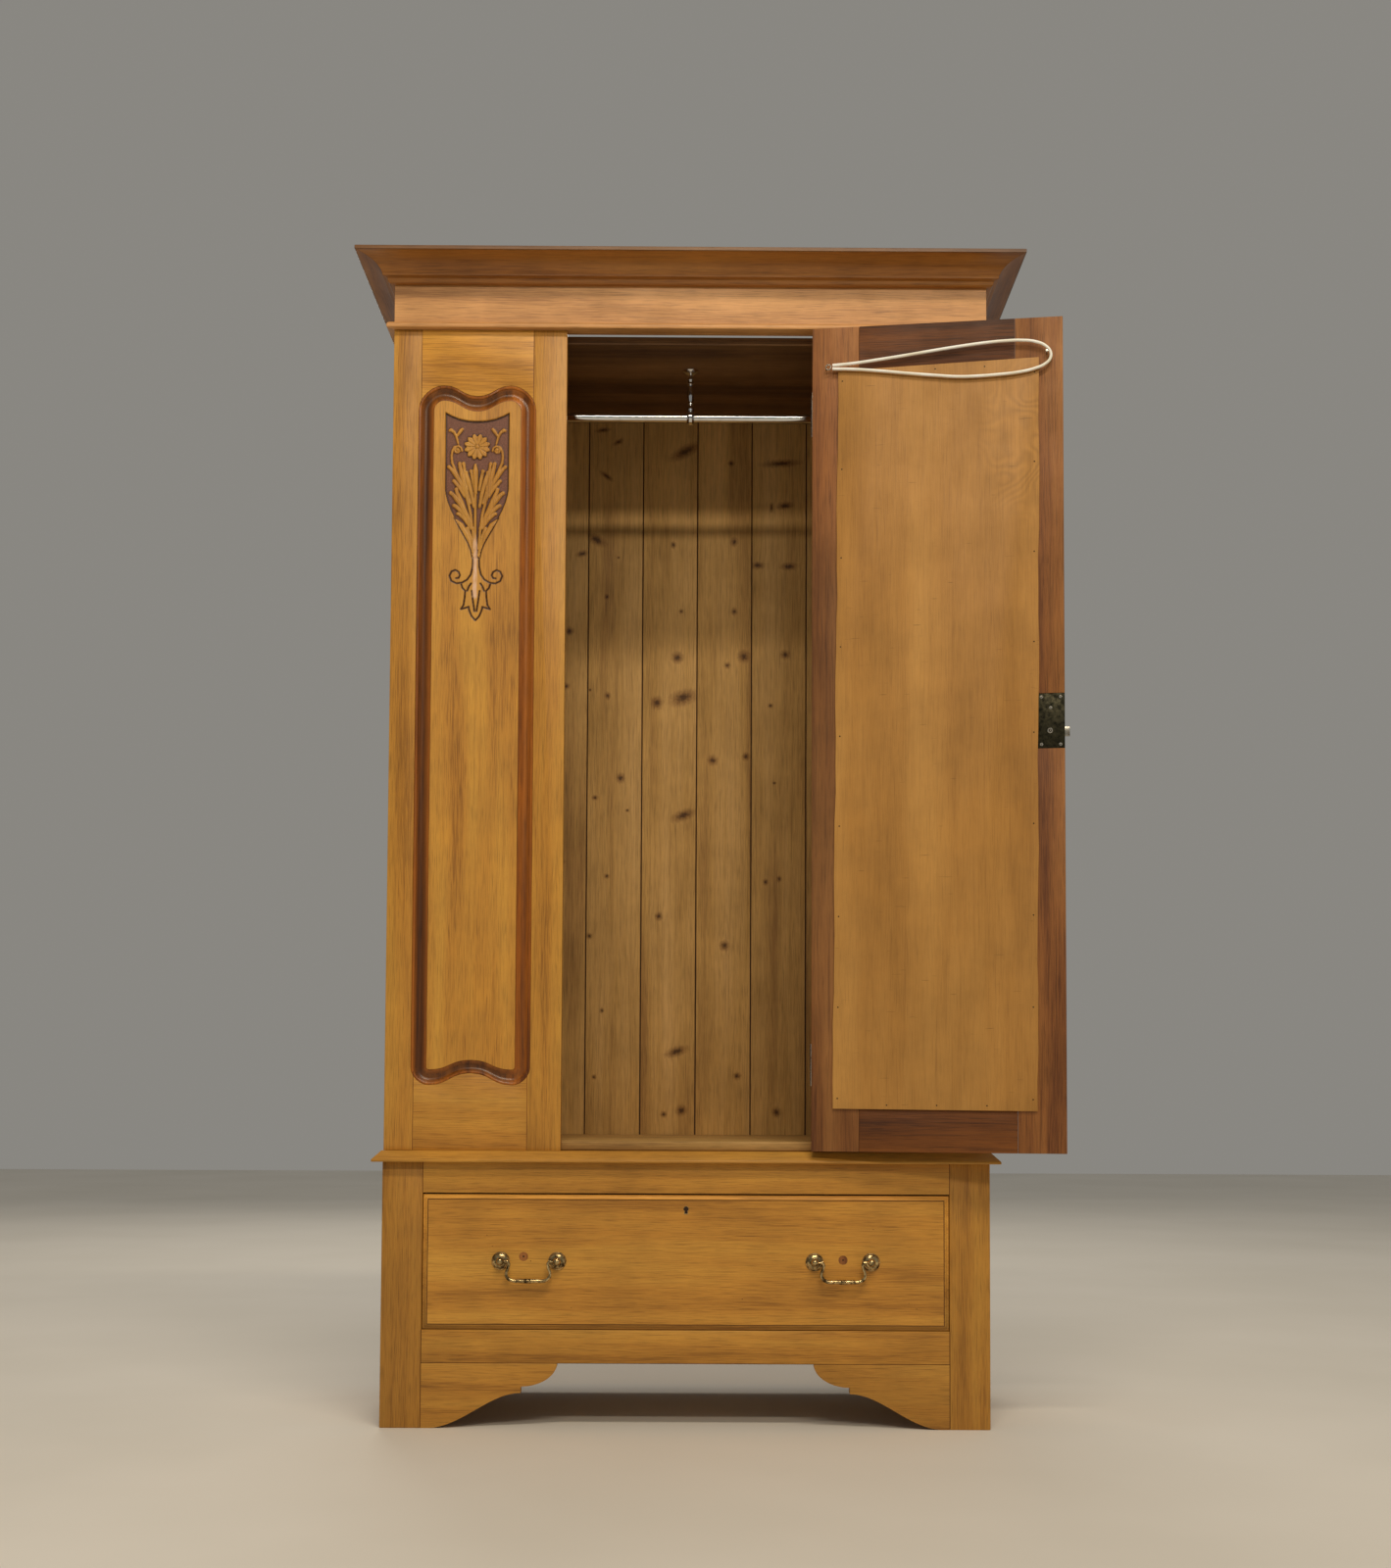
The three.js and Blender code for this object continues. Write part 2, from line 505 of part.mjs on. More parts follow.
function makeFlanks() {
  const flank = flankFrame();
  // The left frame takes the lock's bolt, the right one the hinges' fixed leaves.
  const boltMiddle = LOCK_Z - BOLT_DROP;
  const keeper = block(-HALF_DOORWAY - BOLT_THROW - 2 * MORTICE_PLAY, -HALF_DOORWAY + 1,
    BOLT_FRONT - MORTICE_PLAY, BOLT_FRONT + BOLT_T + MORTICE_PLAY,
    boltMiddle - BOLT_H / 2 - MORTICE_PLAY, boltMiddle + BOLT_H / 2 + MORTICE_PLAY);
  add(wardrobe, 'flank_left_frame', cut(mirrored(flank), keeper), SATIN_WALNUT);
  const beds = hingeLevels.map((level) => block(HALF_DOORWAY - 1, HALF_DOORWAY + LEAF_STEP + SLIP, -1,
    HINGE_LEAF_W + SLIP, level - HINGE_H / 2 - SLIP, level + HINGE_H / 2 + SLIP));
  add(wardrobe, 'flank_right_frame', cut(flank, ...beds), SATIN_WALNUT);

  const opening = [FLANK_OPENING_HALF, FLANK_OPENING_TOP, FLANK_OPENING_FOOT];
  const hollow = ring(...opening, GLUE, MOULDING_W, HOLLOW_DEEP, PANEL_SET_BACK - GLUE);
  const lip = ring(...opening, GLUE, MOULDING_LIP_W, 1, HOLLOW_DEEP + GLUE);
  const rise = ring(...opening, MOULDING_W - MOULDING_RISE_W, MOULDING_W, FIELD_SET_BACK + 1,
    HOLLOW_DEEP + GLUE);
  const mould = joined(hollow, lip, rise).translate(FLANK_MIDDLE, 0, 0);
  add(wardrobe, 'flank_left_moulding', mirrored(mould), MAHOGANY);
  add(wardrobe, 'flank_right_moulding', mould, MAHOGANY);

  const margin = outline(new THREE.Shape(), ...opening, GLUE);
  const field = outline(new THREE.Shape(), ...opening, MOULDING_W + GLUE);
  const panel = joined(slab(margin, PANEL_SET_BACK, PANEL_SET_BACK + PANEL_T, 6),
    slab(field, FIELD_SET_BACK, PANEL_SET_BACK + GLUE, 6)).translate(FLANK_MIDDLE, 0, 0);
  add(wardrobe, 'flank_left_panel', mirrored(panel), SATIN_WALNUT);
  add(wardrobe, 'flank_right_panel', panel, SATIN_WALNUT);
}

function backBoarding() {
  const front = DEPTH - BACK_T;
  const half = INNER_X - GLUE;
  const boards = block(-half, half, front, DEPTH, UPPER_FOOT, UPPER_HEAD);
  const grooves = [];
  const before = Math.floor((half + BACK_JOINT_X) / BACK_BOARD_W);
  for (let x = BACK_JOINT_X - before * BACK_BOARD_W; x < half - 10; x += BACK_BOARD_W) {
    grooves.push(block(x - BACK_GROOVE / 2, x + BACK_GROOVE / 2, front - 1, front + 1.5, 0, HEIGHT));
  }
  return cut(boards, ...grooves);
}

function railSupport() {
  const eye = RAIL_R + SLIP;
  const rim = eye + 4.5;
  const ringWide = 6.5;
  const loop = turned([[eye, -ringWide], [rim - 1, -ringWide], [rim, -3], [rim, 3], [rim - 1, ringWide],
    [eye, ringWide], [eye, -ringWide]], 'x', 20);
  const top = RAIL_DROP - GLUE;
  const stem = turned([[0, rim - 2.5], [5.5, rim - 1.5], [6.2, rim + 4], [3, rim + 9], [4.6, rim + 14],
    [6, rim + 26], [4.2, rim + 38], [2.8, rim + 44], [5, rim + 49], [5.6, rim + 56], [3.4, rim + 62],
    [12, top - 3], [14, top - 1], [14, top], [0, top]], 'z', 16);
  return joined(loop, stem);
}

function makeCarcase() {
  const behindFrame = FRAME_T + GLUE;
  const backFace = DEPTH - BACK_T;
  const side = block(INNER_X, HALF, behindFrame, DEPTH, UPPER_FOOT, UPPER_HEAD);
  add(wardrobe, 'upper_side_left', mirrored(side), SATIN_WALNUT);
  add(wardrobe, 'upper_side_right', side, SATIN_WALNUT);
  const inside = INNER_X - GLUE;
  add(wardrobe, 'floor_board',
    block(-inside, inside, behindFrame, backFace - GLUE, UPPER_FOOT, FLOOR_TOP), PINE);
  add(wardrobe, 'ceiling_board',
    block(-inside, inside, behindFrame, backFace - GLUE, CEILING_FACE, CEILING_TOP), PINE);
  add(wardrobe, 'back_boarding', backBoarding(), PINE);

  const level = CEILING_FACE - RAIL_DROP;
  const railEnd = inside - 2 * GLUE - 2;
  const tube = turned([[0, -railEnd], [RAIL_R, -railEnd], [RAIL_R, railEnd], [0, railEnd]], 'x', 20);
  add(wardrobe, 'hanging_rail', tube, CHROME).position.set(0, RAIL_BACK, level);
  // A cup on each side takes the end of the rail.
  const mouth = RAIL_R + SLIP;
  const bed = INNER_X - GLUE;
  const cup = turned([[0, bed], [SOCKET_R, bed], [SOCKET_R, bed - 2], [mouth + 3, bed - 3],
    [mouth + 2.5, bed - 2 - SOCKET_T], [mouth, bed - 2 - SOCKET_T], [mouth, bed - 1.5], [0, bed - 1.5]],
  'x', 20);
  const rightCup = flipped(cup);
  add(wardrobe, 'rail_socket_right', rightCup, CHROME).position.set(0, RAIL_BACK, level);
  add(wardrobe, 'rail_socket_left', mirrored(rightCup), CHROME).position.set(0, RAIL_BACK, level);
  add(wardrobe, 'rail_centre_support', railSupport(), CHROME).position.set(0, RAIL_BACK, level);
}

// A profile run from high to low turns inside out, and this turns its faces back.
function flipped(geometry) {
  return mirrored(geometry).scale(-1, 1, 1);
}

// ---- Cornice ---------------------------------------------------------------------------------
// Section of the frieze board with its lower bead: x outward from the carcase's face, y upward.
function friezeShape() {
  const shape = new THREE.Shape();
  shape.moveTo(-FRIEZE_T, 0);
  shape.lineTo(10, 0);
  shape.lineTo(12, 2);
  shape.lineTo(12, 5);
  shape.quadraticCurveTo(11, 10, 4, 11);
  shape.lineTo(0, 12);
  shape.lineTo(0, CORNICE_H - CORNICE_MOULD_H);
  // The coved moulding stands on the same board: a quirked bead, a small bead, a cove and a fillet.
  const foot = CORNICE_H - CORNICE_MOULD_H;
  shape.lineTo(5, foot);
  shape.quadraticCurveTo(11, foot + 1, 11, foot + 6);
  shape.quadraticCurveTo(11, foot + 9.5, 14, foot + 10);
  shape.lineTo(19, foot + 11);
  shape.lineTo(19.5, foot + 14.5);
  shape.bezierCurveTo(24, foot + 27, 36, foot + 36, CORNICE_OUT - 3, foot + 39);
  shape.lineTo(CORNICE_OUT, foot + 39.5);
  shape.lineTo(CORNICE_OUT, CORNICE_H);
  shape.lineTo(-FRIEZE_T, CORNICE_H);
  shape.closePath();
  return shape;
}

function makeCornice() {
  const cornice = new THREE.Group();
  cornice.position.z = CORNICE_FOOT;
  wardrobe.add(cornice);
  const reach = HALF + CORNICE_OUT + 10;
  const out = CORNICE_OUT + 10;
  const section = friezeShape();
  const towardFront = new THREE.Vector3(0, -1, 0);
  const towardRight = new THREE.Vector3(1, 0, 0);
  const frontRun = run(section, 2 * reach, towardFront, new THREE.Vector3(reach, 0, 0), 5);
  const sideRun = run(section, DEPTH + out, towardRight, new THREE.Vector3(HALF, DEPTH, 0), 5);

  // Mitred corners, with a glue line between them.
  const line = HALF - GLUE;
  const inner = FRIEZE_T + 10;
  const frontKeep = plan([[-(line + out), -out], [line + out, -out], [line - inner, inner],
    [-(line - inner), inner]], -1, CORNICE_H + 1);
  const sideLine = HALF + GLUE;
  const sideKeep = plan([[sideLine + out, -out], [reach + 1, -out], [reach + 1, DEPTH + 1],
    [sideLine - inner, DEPTH + 1], [sideLine - inner, inner]], -1, CORNICE_H + 1);
  const side = kept(sideRun, sideKeep);
  add(cornice, 'cornice_front', kept(frontRun, frontKeep), SATIN_WALNUT);
  add(cornice, 'cornice_right', side, SATIN_WALNUT);
  add(cornice, 'cornice_left', mirrored(side), SATIN_WALNUT);
  const inside = HALF - FRIEZE_T - GLUE;
  add(cornice, 'cornice_back_rail',
    block(-inside, inside, DEPTH - FRIEZE_T, DEPTH, 0, CORNICE_H - 5), PINE);
}

// ---- Door ------------------------------------------------------------------------------------
// Drawn shut, with X and Y from the hinge pin, then swung open.
const DOOR_EDGE = -DOOR_GAP / 2; // hinge edge
const DOOR_W = OPENING_W - 2 * DOOR_GAP;
const DOOR_FREE = DOOR_EDGE - DOOR_W;
const DOOR_FACE = HINGE_PROUD;
const DOOR_BACK = DOOR_FACE + FRAME_T;
const DOOR_FOOT = BASE_H + DOOR_FOOT_GAP;
const DOOR_HEAD = CORNICE_FOOT - DOOR_HEAD_GAP;
const DOOR_MIDDLE = DOOR_EDGE - DOOR_W / 2;

const WIRE_EYE = [28, DOOR_HEAD - 71]; // along the door from its hinge edge, and up
const WIRE_NAIL = [DOOR_W - 26.5, DOOR_HEAD - 62.5];
// The wire's route from the upper side of the eye, round the loop and back, measured from the eye.
const WIRE_ROUTE = [[7, 3], [44, 5], [88, 9.5], [132, 14.5], [176, 20], [220, 25], [264, 29], [298, 30.5],
  [322, 30], [345, 26.5], [361, 19], [369.5, 8], [369, -3], [361, -11.5], [344, -18.5], [318, -23.5],
  [284, -26], [249, -27], [219, -26.5], [176, -22], [132, -16.5], [88, -10.5], [44, -5.5], [7, -3]];

function makeDoor() {
  const door = new THREE.Group();
  door.position.set(HINGE_X, -HINGE_PROUD, 0);
  door.rotation.z = DOOR_OPEN;
  wardrobe.add(door);
  const hingeStile = block(DOOR_EDGE - DOOR_STILE_W, DOOR_EDGE, DOOR_FACE, DOOR_BACK, DOOR_FOOT, DOOR_HEAD);
  const lockStile = block(DOOR_FREE, DOOR_FREE + DOOR_STILE_W, DOOR_FACE, DOOR_BACK, DOOR_FOOT, DOOR_HEAD);
  const railLeft = DOOR_FREE + DOOR_STILE_W + GLUE;
  const railRight = DOOR_EDGE - DOOR_STILE_W - GLUE;
  const topRail = block(railLeft, railRight, DOOR_FACE, DOOR_BACK, DOOR_HEAD - DOOR_TOP_RAIL_H, DOOR_HEAD);
  const bottomRail = block(railLeft, railRight, DOOR_FACE, DOOR_BACK, DOOR_FOOT,
    DOOR_FOOT + DOOR_BOTTOM_RAIL_H);

  const openingHalf = DOOR_W / 2 - DOOR_STILE_W + STILE_CUT;
  const openingTop = DOOR_HEAD - BACKING_HEAD_LAP - BACKING_COVER;
  const openingFoot = DOOR_FOOT + BACKING_FOOT_LAP + BACKING_COVER;
  const hole = slab(outline(new THREE.Shape(), openingHalf, openingTop, openingFoot, 0), 0, FAR, 6)
    .translate(DOOR_MIDDLE, 0, 0);
  const hingeBeds = hingeLevels.map((level) => block(DOOR_EDGE - LEAF_STEP - SLIP, 1, 0,
    DOOR_FACE + HINGE_LEAF_W + SLIP, level - HINGE_H / 2 - SLIP, level + HINGE_H / 2 + SLIP));
  const lockFoot = LOCK_Z - LOCK_H / 2;
  const lockBed = block(DOOR_FREE - 1, DOOR_FREE + LOCK_W + SLIP, DOOR_BACK - LOCK_T - SLIP, DOOR_BACK + 1,
    lockFoot - SLIP, lockFoot + LOCK_H + SLIP);
  add(door, 'door_hinge_stile', cut(hingeStile, hole, ...hingeBeds), SATIN_WALNUT);
  add(door, 'door_lock_stile', cut(lockStile, hole, lockBed), SATIN_WALNUT);
  add(door, 'door_top_rail', cut(topRail, hole), DARK_WALNUT);
  add(door, 'door_bottom_rail', cut(bottomRail, hole), DARK_WALNUT);

  const mould = ring(openingHalf, openingTop, openingFoot, GLUE, DOOR_MOULDING_W,
    DOOR_FACE + 0.5, DOOR_FACE + PANEL_SET_BACK - GLUE);
  add(door, 'door_moulding', mould.translate(DOOR_MIDDLE, 0, 0), MAHOGANY);
  const glassShape = outline(new THREE.Shape(), openingHalf, openingTop, openingFoot, 2 * GLUE);
  const glass = joined(slab(glassShape, DOOR_FACE + PANEL_SET_BACK, DOOR_FACE + PANEL_SET_BACK + GLASS_T, 6));
  add(door, 'door_mirror', glass.translate(DOOR_MIDDLE, 0, 0), MIRROR);

  // The thin board nailed over the mirror's back was sawn by hand and sits a little askew.
  const boardRight = DOOR_EDGE - BACKING_HINGE_LAP;
  const boardLeft = DOOR_FREE + BACKING_LOCK_LAP;
  const boardFoot = DOOR_FOOT + BACKING_FOOT_LAP;
  const boardHead = DOOR_HEAD - BACKING_HEAD_LAP;
  const lean = 4;
  const board = new THREE.Shape();
  board.moveTo(boardLeft + lean, boardFoot - 1);
  board.lineTo(boardRight + lean, boardFoot + 1);
  board.lineTo(boardRight - lean, boardHead - 3);
  board.lineTo(boardLeft - lean, boardHead + 4);
  board.closePath();
  add(door, 'door_backing_board', slab(board, DOOR_BACK + GLUE, DOOR_BACK + GLUE + BACKING_T), THIN_BOARD);

  makeHinges(door);
  makeLock(door, lockFoot);
  makeWire(door);
}

function makeHinges(door) {
  const cheek = HINGE_H / 3;
  const bore = PIN_R + SLIP;
  hingeLevels.forEach((level, place) => {
    const which = place === 0 ? 'lower' : 'upper';
    const knuckle = (low, high) => turned([[0, low], [KNUCKLE_R, low], [KNUCKLE_R, high], [0, high]], 'z', 16)
      .translate(0, 0, level);
    const half = HINGE_H / 2;
    const tube = cut(knuckle(-cheek / 2 + SLIP, cheek / 2 - SLIP),
      turned([[0, -FAR], [bore, -FAR], [bore, FAR], [0, FAR]], 'z', 16).translate(0, 0, level));
    // The leaf lies on the door's edge; a tongue carries it to its knuckle.
    const face = -LEAF_EDGE;
    const plate = block(face - HINGE_LEAF_T, face, KNUCKLE_R + 0.5, DOOR_FACE + HINGE_LEAF_W,
      level - half, level + half);
    const tongue = block(face - HINGE_LEAF_T, face, PIN_R + 1.2, KNUCKLE_R + 1,
      level - cheek / 2 + SLIP, level + cheek / 2 - SLIP);
    add(door, `hinge_${which}_door_leaf`, joined(tube, plate, tongue), STEEL);

    const fixedPlate = block(-face, -face + HINGE_LEAF_T, KNUCKLE_R + 0.5, HINGE_PROUD + HINGE_LEAF_W,
      level - half, level + half);
    const tongueAt = (low, high) => block(-face, -face + HINGE_LEAF_T, PIN_R, KNUCKLE_R + 1,
      level + low, level + high);
    const lowTongue = tongueAt(-half, -cheek / 2);
    const highTongue = tongueAt(cheek / 2, half);
    const pin = turned([[0, -half], [PIN_R, -half], [PIN_R, half], [0, half]], 'z', 16)
      .translate(0, 0, level);
    const fixed = joined(knuckle(-half, -cheek / 2), knuckle(cheek / 2, half), pin, fixedPlate,
      lowTongue, highTongue);
    add(wardrobe, `hinge_${which}_frame_leaf`, fixed, STEEL).position.set(HINGE_X, -HINGE_PROUD, 0);
  });
}

function makeLock(door, lockFoot) {
  const boltFront = DOOR_FACE + BOLT_FRONT;
  const boltFoot = LOCK_Z - BOLT_DROP - BOLT_H / 2;
  const boltEnd = DOOR_FREE - BOLT_THROW + BOLT_L;
  const body = block(DOOR_FREE, DOOR_FREE + LOCK_W, DOOR_BACK - LOCK_T, DOOR_BACK,
    lockFoot, lockFoot + LOCK_H);
  const way = block(DOOR_FREE - 1, boltEnd + BOLT_THROW + 1, boltFront - SLIP, boltFront + BOLT_T + SLIP,
    boltFoot - SLIP, boltFoot + BOLT_H + SLIP);
  add(door, 'door_lock', cut(body, way), BRONZE);
  add(door, 'door_lock_bolt', block(DOOR_FREE - BOLT_THROW, boltEnd, boltFront, boltFront + BOLT_T,
    boltFoot, boltFoot + BOLT_H), STEEL);
}

function makeWire(door) {
  const onDoor = (along, up) => new THREE.Vector3(DOOR_EDGE - along, DOOR_BACK + WIRE_OFF, up);
  const eyeAt = onDoor(...WIRE_EYE);
  const shank = turned([[0, GLUE], [1.2, GLUE], [1.2, WIRE_OFF], [0, WIRE_OFF]], 'y', 10)
    .translate(0, DOOR_BACK, 0);
  const loopR = 4.2;
  const wireR = 1.1;
  const loop = new THREE.TorusGeometry(loopR, wireR, 8, 20).rotateX(Math.PI / 2)
    .translate(0, DOOR_BACK + WIRE_OFF, 0);
  // The shank runs up into the near side of its ring.
  const eye = joined(shank.translate(loopR, 0, 0), loop);
  add(door, 'wire_screw_eye', eye, STEEL).position.set(eyeAt.x, 0, eyeAt.z);
  const nailAt = onDoor(...WIRE_NAIL);
  const nail = turned([[0, GLUE], [1.1, GLUE], [1.1, WIRE_OFF + 5], [2.4, WIRE_OFF + 5.3],
    [2.4, WIRE_OFF + 6.2], [0, WIRE_OFF + 6.8]], 'y', 10).translate(0, DOOR_BACK, 0);
  add(door, 'wire_nail', nail, STEEL).position.set(nailAt.x, 0, nailAt.z);

  const [eyeAlong, eyeUp] = WIRE_EYE;
  const route = WIRE_ROUTE.map(([along, up]) => onDoor(eyeAlong + along, eyeUp + up));
  const curve = new THREE.CatmullRomCurve3(route, false, 'centripetal');
  const round = new THREE.Shape();
  round.absarc(0, 0, WIRE_R, 0, Math.PI * 2);
  const wire = new THREE.ExtrudeGeometry(round,
    { steps: 60, extrudePath: curve, bevelEnabled: false, curveSegments: 4 });
  add(door, 'curtain_wire', wire, SLEEVE);
}

makeBase();
makeDrawer();
makeCarcase();
makeFlanks();
makeCornice();
makeDoor();

// The origin is the middle of the whole footprint, open door and all, on the floor.
wardrobe.updateMatrixWorld(true);
const footprint = new THREE.Box3();
wardrobe.traverse((piece) => {
  if (piece.isMesh && piece.name !== 'curtain_wire') footprint.expandByObject(piece, true);
});
const middle = footprint.getCenter(new THREE.Vector3());
wardrobe.position.set(-middle.x, -middle.y, 0);

export default wardrobe;
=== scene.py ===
import math

import bmesh
import bpy
import numpy as np
from mathutils import Matrix, Vector


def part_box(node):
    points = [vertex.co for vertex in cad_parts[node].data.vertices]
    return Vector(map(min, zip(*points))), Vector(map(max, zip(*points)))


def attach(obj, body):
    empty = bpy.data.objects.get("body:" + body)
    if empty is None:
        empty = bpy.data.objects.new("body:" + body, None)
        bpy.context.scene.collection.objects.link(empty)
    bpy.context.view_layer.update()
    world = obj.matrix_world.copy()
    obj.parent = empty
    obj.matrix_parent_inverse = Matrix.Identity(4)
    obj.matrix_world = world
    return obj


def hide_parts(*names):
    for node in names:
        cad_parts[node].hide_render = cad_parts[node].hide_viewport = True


# A single wardrobe in satin walnut: a mirror door thrown back between two carved flanks, a coved
# cornice, and one long drawer on bracket feet. Shapes are drawn in millimetres, with X from the
# centre line, Y back from the front of the upper carcase and Z up from the floor, and are set
# in their place in metres when they are finished.
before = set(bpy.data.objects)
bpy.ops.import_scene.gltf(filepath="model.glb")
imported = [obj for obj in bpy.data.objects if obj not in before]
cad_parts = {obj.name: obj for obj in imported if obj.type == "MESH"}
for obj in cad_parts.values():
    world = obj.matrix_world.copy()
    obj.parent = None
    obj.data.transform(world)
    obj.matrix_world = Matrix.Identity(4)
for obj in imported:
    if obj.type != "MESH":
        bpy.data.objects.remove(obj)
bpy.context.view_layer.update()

MM = 0.001
boards_low, boards_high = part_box("back_boarding")
CENTRE = (boards_low.x + boards_high.x) / 2
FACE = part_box("flank_left_frame")[0].y
CARCASE = Matrix.Translation((CENTRE, FACE, 0)) @ Matrix.Scale(MM, 4)

HALF = 506.5  # half the width of the carcase
DEPTH = 452
BOARD_FACE = 440
BOARD_COVER = 104.4
FRAME_T = 22
BASE_FRONT = -8
UPPER_FOOT = 458.25
UPPER_HEAD = 1856.75

# The door, drawn shut from its hinge pin, then swung back through 171 degrees.
DOOR = CARCASE @ Matrix.Translation((210, -5, 0)) @ Matrix.Rotation(math.radians(171), 4, "Z")
DOOR_EDGE = -1
DOOR_W = 418
DOOR_FACE = 5
DOOR_BACK = DOOR_FACE + FRAME_T


# ---- Camera ----------------------------------------------------------------------------------
def place_camera():
    """A standing-height view, square on, with the lens raised as on a view camera."""
    turn = Matrix.Rotation(math.radians(-0.232), 3, "Z") @ Matrix.Rotation(math.radians(3.209), 3, "X")
    right, ahead, up = turn.col[0], turn.col[1], turn.col[2]
    tip = math.radians(0.262)
    across = math.cos(tip) * right + math.sin(tip) * up
    upright = math.cos(tip) * up - math.sin(tip) * right
    lens = bpy.data.cameras.new("camera")
    lens.lens = 46.45
    lens.sensor_width = 36
    lens.shift_x = -0.0052
    lens.shift_y = 0.1152
    lens.clip_end = 60
    camera = bpy.data.objects.new("camera", lens)
    pose = Matrix((across, upright, -ahead)).transposed().to_4x4()
    pose.translation = CARCASE @ Vector((13.6, -3397, 580.7))
    camera.matrix_world = pose
    bpy.context.scene.collection.objects.link(camera)
    bpy.context.scene.camera = camera


# ---- Making pieces ---------------------------------------------------------------------------
def solid(node, place=CARCASE):
    """A merged copy of a node's solid, in millimetres."""
    shape = bmesh.new()
    shape.from_mesh(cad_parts[node].data)
    shape.transform(place.inverted())
    bmesh.ops.remove_doubles(shape, verts=shape.verts, dist=0.01)
    bmesh.ops.dissolve_limit(shape, angle_limit=math.radians(0.5), verts=shape.verts, edges=shape.edges)
    return shape


def box(x0, x1, y0, y1, z0, z1):
    shape = bmesh.new()
    bmesh.ops.create_cube(shape, size=1)
    bmesh.ops.scale(shape, vec=(x1 - x0, y1 - y0, z1 - z0), verts=shape.verts)
    bmesh.ops.translate(shape, vec=((x0 + x1) / 2, (y0 + y1) / 2, (z0 + z1) / 2), verts=shape.verts)
    return shape


def ease(shape, width=0.8, sharper_than=35, segments=2):
    """Takes the arrises off, as glasspaper does."""
    arrises = [edge for edge in shape.edges
               if len(edge.link_faces) == 2 and edge.calc_face_angle() > math.radians(sharper_than)]
    bmesh.ops.bevel(shape, geom=arrises, offset=width, offset_type="OFFSET", affect="EDGES",
                    segments=segments, profile=0.5, material=-1, clamp_overlap=True)
    return shape


def ringed(shape, levels):
    """Adds points all round a shape at some heights, so that its tone can change there."""
    for level in levels:
        whole = shape.verts[:] + shape.edges[:] + shape.faces[:]
        bmesh.ops.bisect_plane(shape, geom=whole, plane_co=(0, 0, level), plane_no=(0, 0, 1))
    return shape


def sawn(outline, front, back):
    """A board sawn to an outline of (x, z) points."""
    shape = bmesh.new()
    face = shape.faces.new([shape.verts.new((x, front, z)) for x, z in outline])
    grown = bmesh.ops.extrude_face_region(shape, geom=[face])
    far_side = [item for item in grown["geom"] if isinstance(item, bmesh.types.BMVert)]
    bmesh.ops.translate(shape, vec=(0, back - front, 0), verts=far_side)
    bmesh.ops.recalc_face_normals(shape, faces=shape.faces)
    return shape


def loops_bridged(loops, closed=False, capped=True):
    """A skin carried from one ring of points to the next."""
    shape = bmesh.new()
    rings = []
    for points in loops:
        corners = [shape.verts.new(point) for point in points]
        rings.append([shape.edges.new(pair) for pair in zip(corners, corners[1:] + corners[:1])])
    pairs = list(zip(rings, rings[1:]))
    if closed:
        pairs.append((rings[-1], rings[0]))
    for near, far in pairs:
        bmesh.ops.bridge_loops(shape, edges=near + far)
    if capped and not closed:
        for ring in (rings[0], rings[-1]):
            bmesh.ops.edgeloop_fill(shape, edges=ring)
    bmesh.ops.recalc_face_normals(shape, faces=shape.faces)
    return shape


def turned(profile, axis="Z", steps=32):
    """A piece off the lathe, from (radius, height) pairs that start and end on the axis."""
    shape = bmesh.new()
    points = [shape.verts.new((radius, 0, height)) for radius, height in profile]
    edges = [shape.edges.new(pair) for pair in zip(points, points[1:])]
    bmesh.ops.spin(shape, geom=points + edges, cent=(0, 0, 0), axis=(0, 0, 1), angle=math.tau,
                   steps=steps, use_merge=True)
    bmesh.ops.remove_doubles(shape, verts=shape.verts, dist=0.001)
    bmesh.ops.dissolve_degenerate(shape, edges=shape.edges, dist=0.001)
    if axis == "X":
        bmesh.ops.rotate(shape, matrix=Matrix.Rotation(math.pi / 2, 3, "Y"), verts=shape.verts)
    if axis == "Y":
        bmesh.ops.rotate(shape, matrix=Matrix.Rotation(-math.pi / 2, 3, "X"), verts=shape.verts)
    bmesh.ops.recalc_face_normals(shape, faces=shape.faces)
    return shape


def rod(points, radii, sides=4):
    """A bent rod, thick or thin along its length."""
    drawing = bpy.data.curves.new("rod", "CURVE")
    drawing.dimensions = "3D"
    drawing.bevel_depth = 1
    drawing.bevel_resolution = sides
    drawing.use_fill_caps = True
    drawing.resolution_u = 6
    line = drawing.splines.new("BEZIER")
    line.bezier_points.add(len(points) - 1)
    for knot, place, radius in zip(line.bezier_points, points, radii):
        knot.co = place
        knot.radius = radius
        knot.handle_left_type = knot.handle_right_type = "AUTO"
    holder = bpy.data.objects.new("rod", drawing)
    mesh = bpy.data.meshes.new_from_object(holder)
    shape = bmesh.new()
    shape.from_mesh(mesh)
    bmesh.ops.remove_doubles(shape, verts=shape.verts, dist=0.001)
    bmesh.ops.recalc_face_normals(shape, faces=shape.faces)
    bpy.data.objects.remove(holder)
    bpy.data.meshes.remove(mesh)
    return shape


def together(*shapes):
    """Several shapes that make one piece."""
    whole = bmesh.new()
    for shape in shapes:
        mesh = bpy.data.meshes.new("part")
        shape.to_mesh(mesh)
        whole.from_mesh(mesh)
        bpy.data.meshes.remove(mesh)
    return whole


def moved(shape, x=0, y=0, z=0):
    bmesh.ops.translate(shape, vec=(x, y, z), verts=shape.verts)
    return shape


def mirrored(shape):
    """The other hand of a shape."""
    bmesh.ops.scale(shape, vec=(-1, 1, 1), verts=shape.verts)
    bmesh.ops.reverse_faces(shape, faces=shape.faces)
    return shape


GRAIN_ORDER = {"x": (0, 2, 1), "y": (1, 0, 2), "z": (2, 0, 1)}


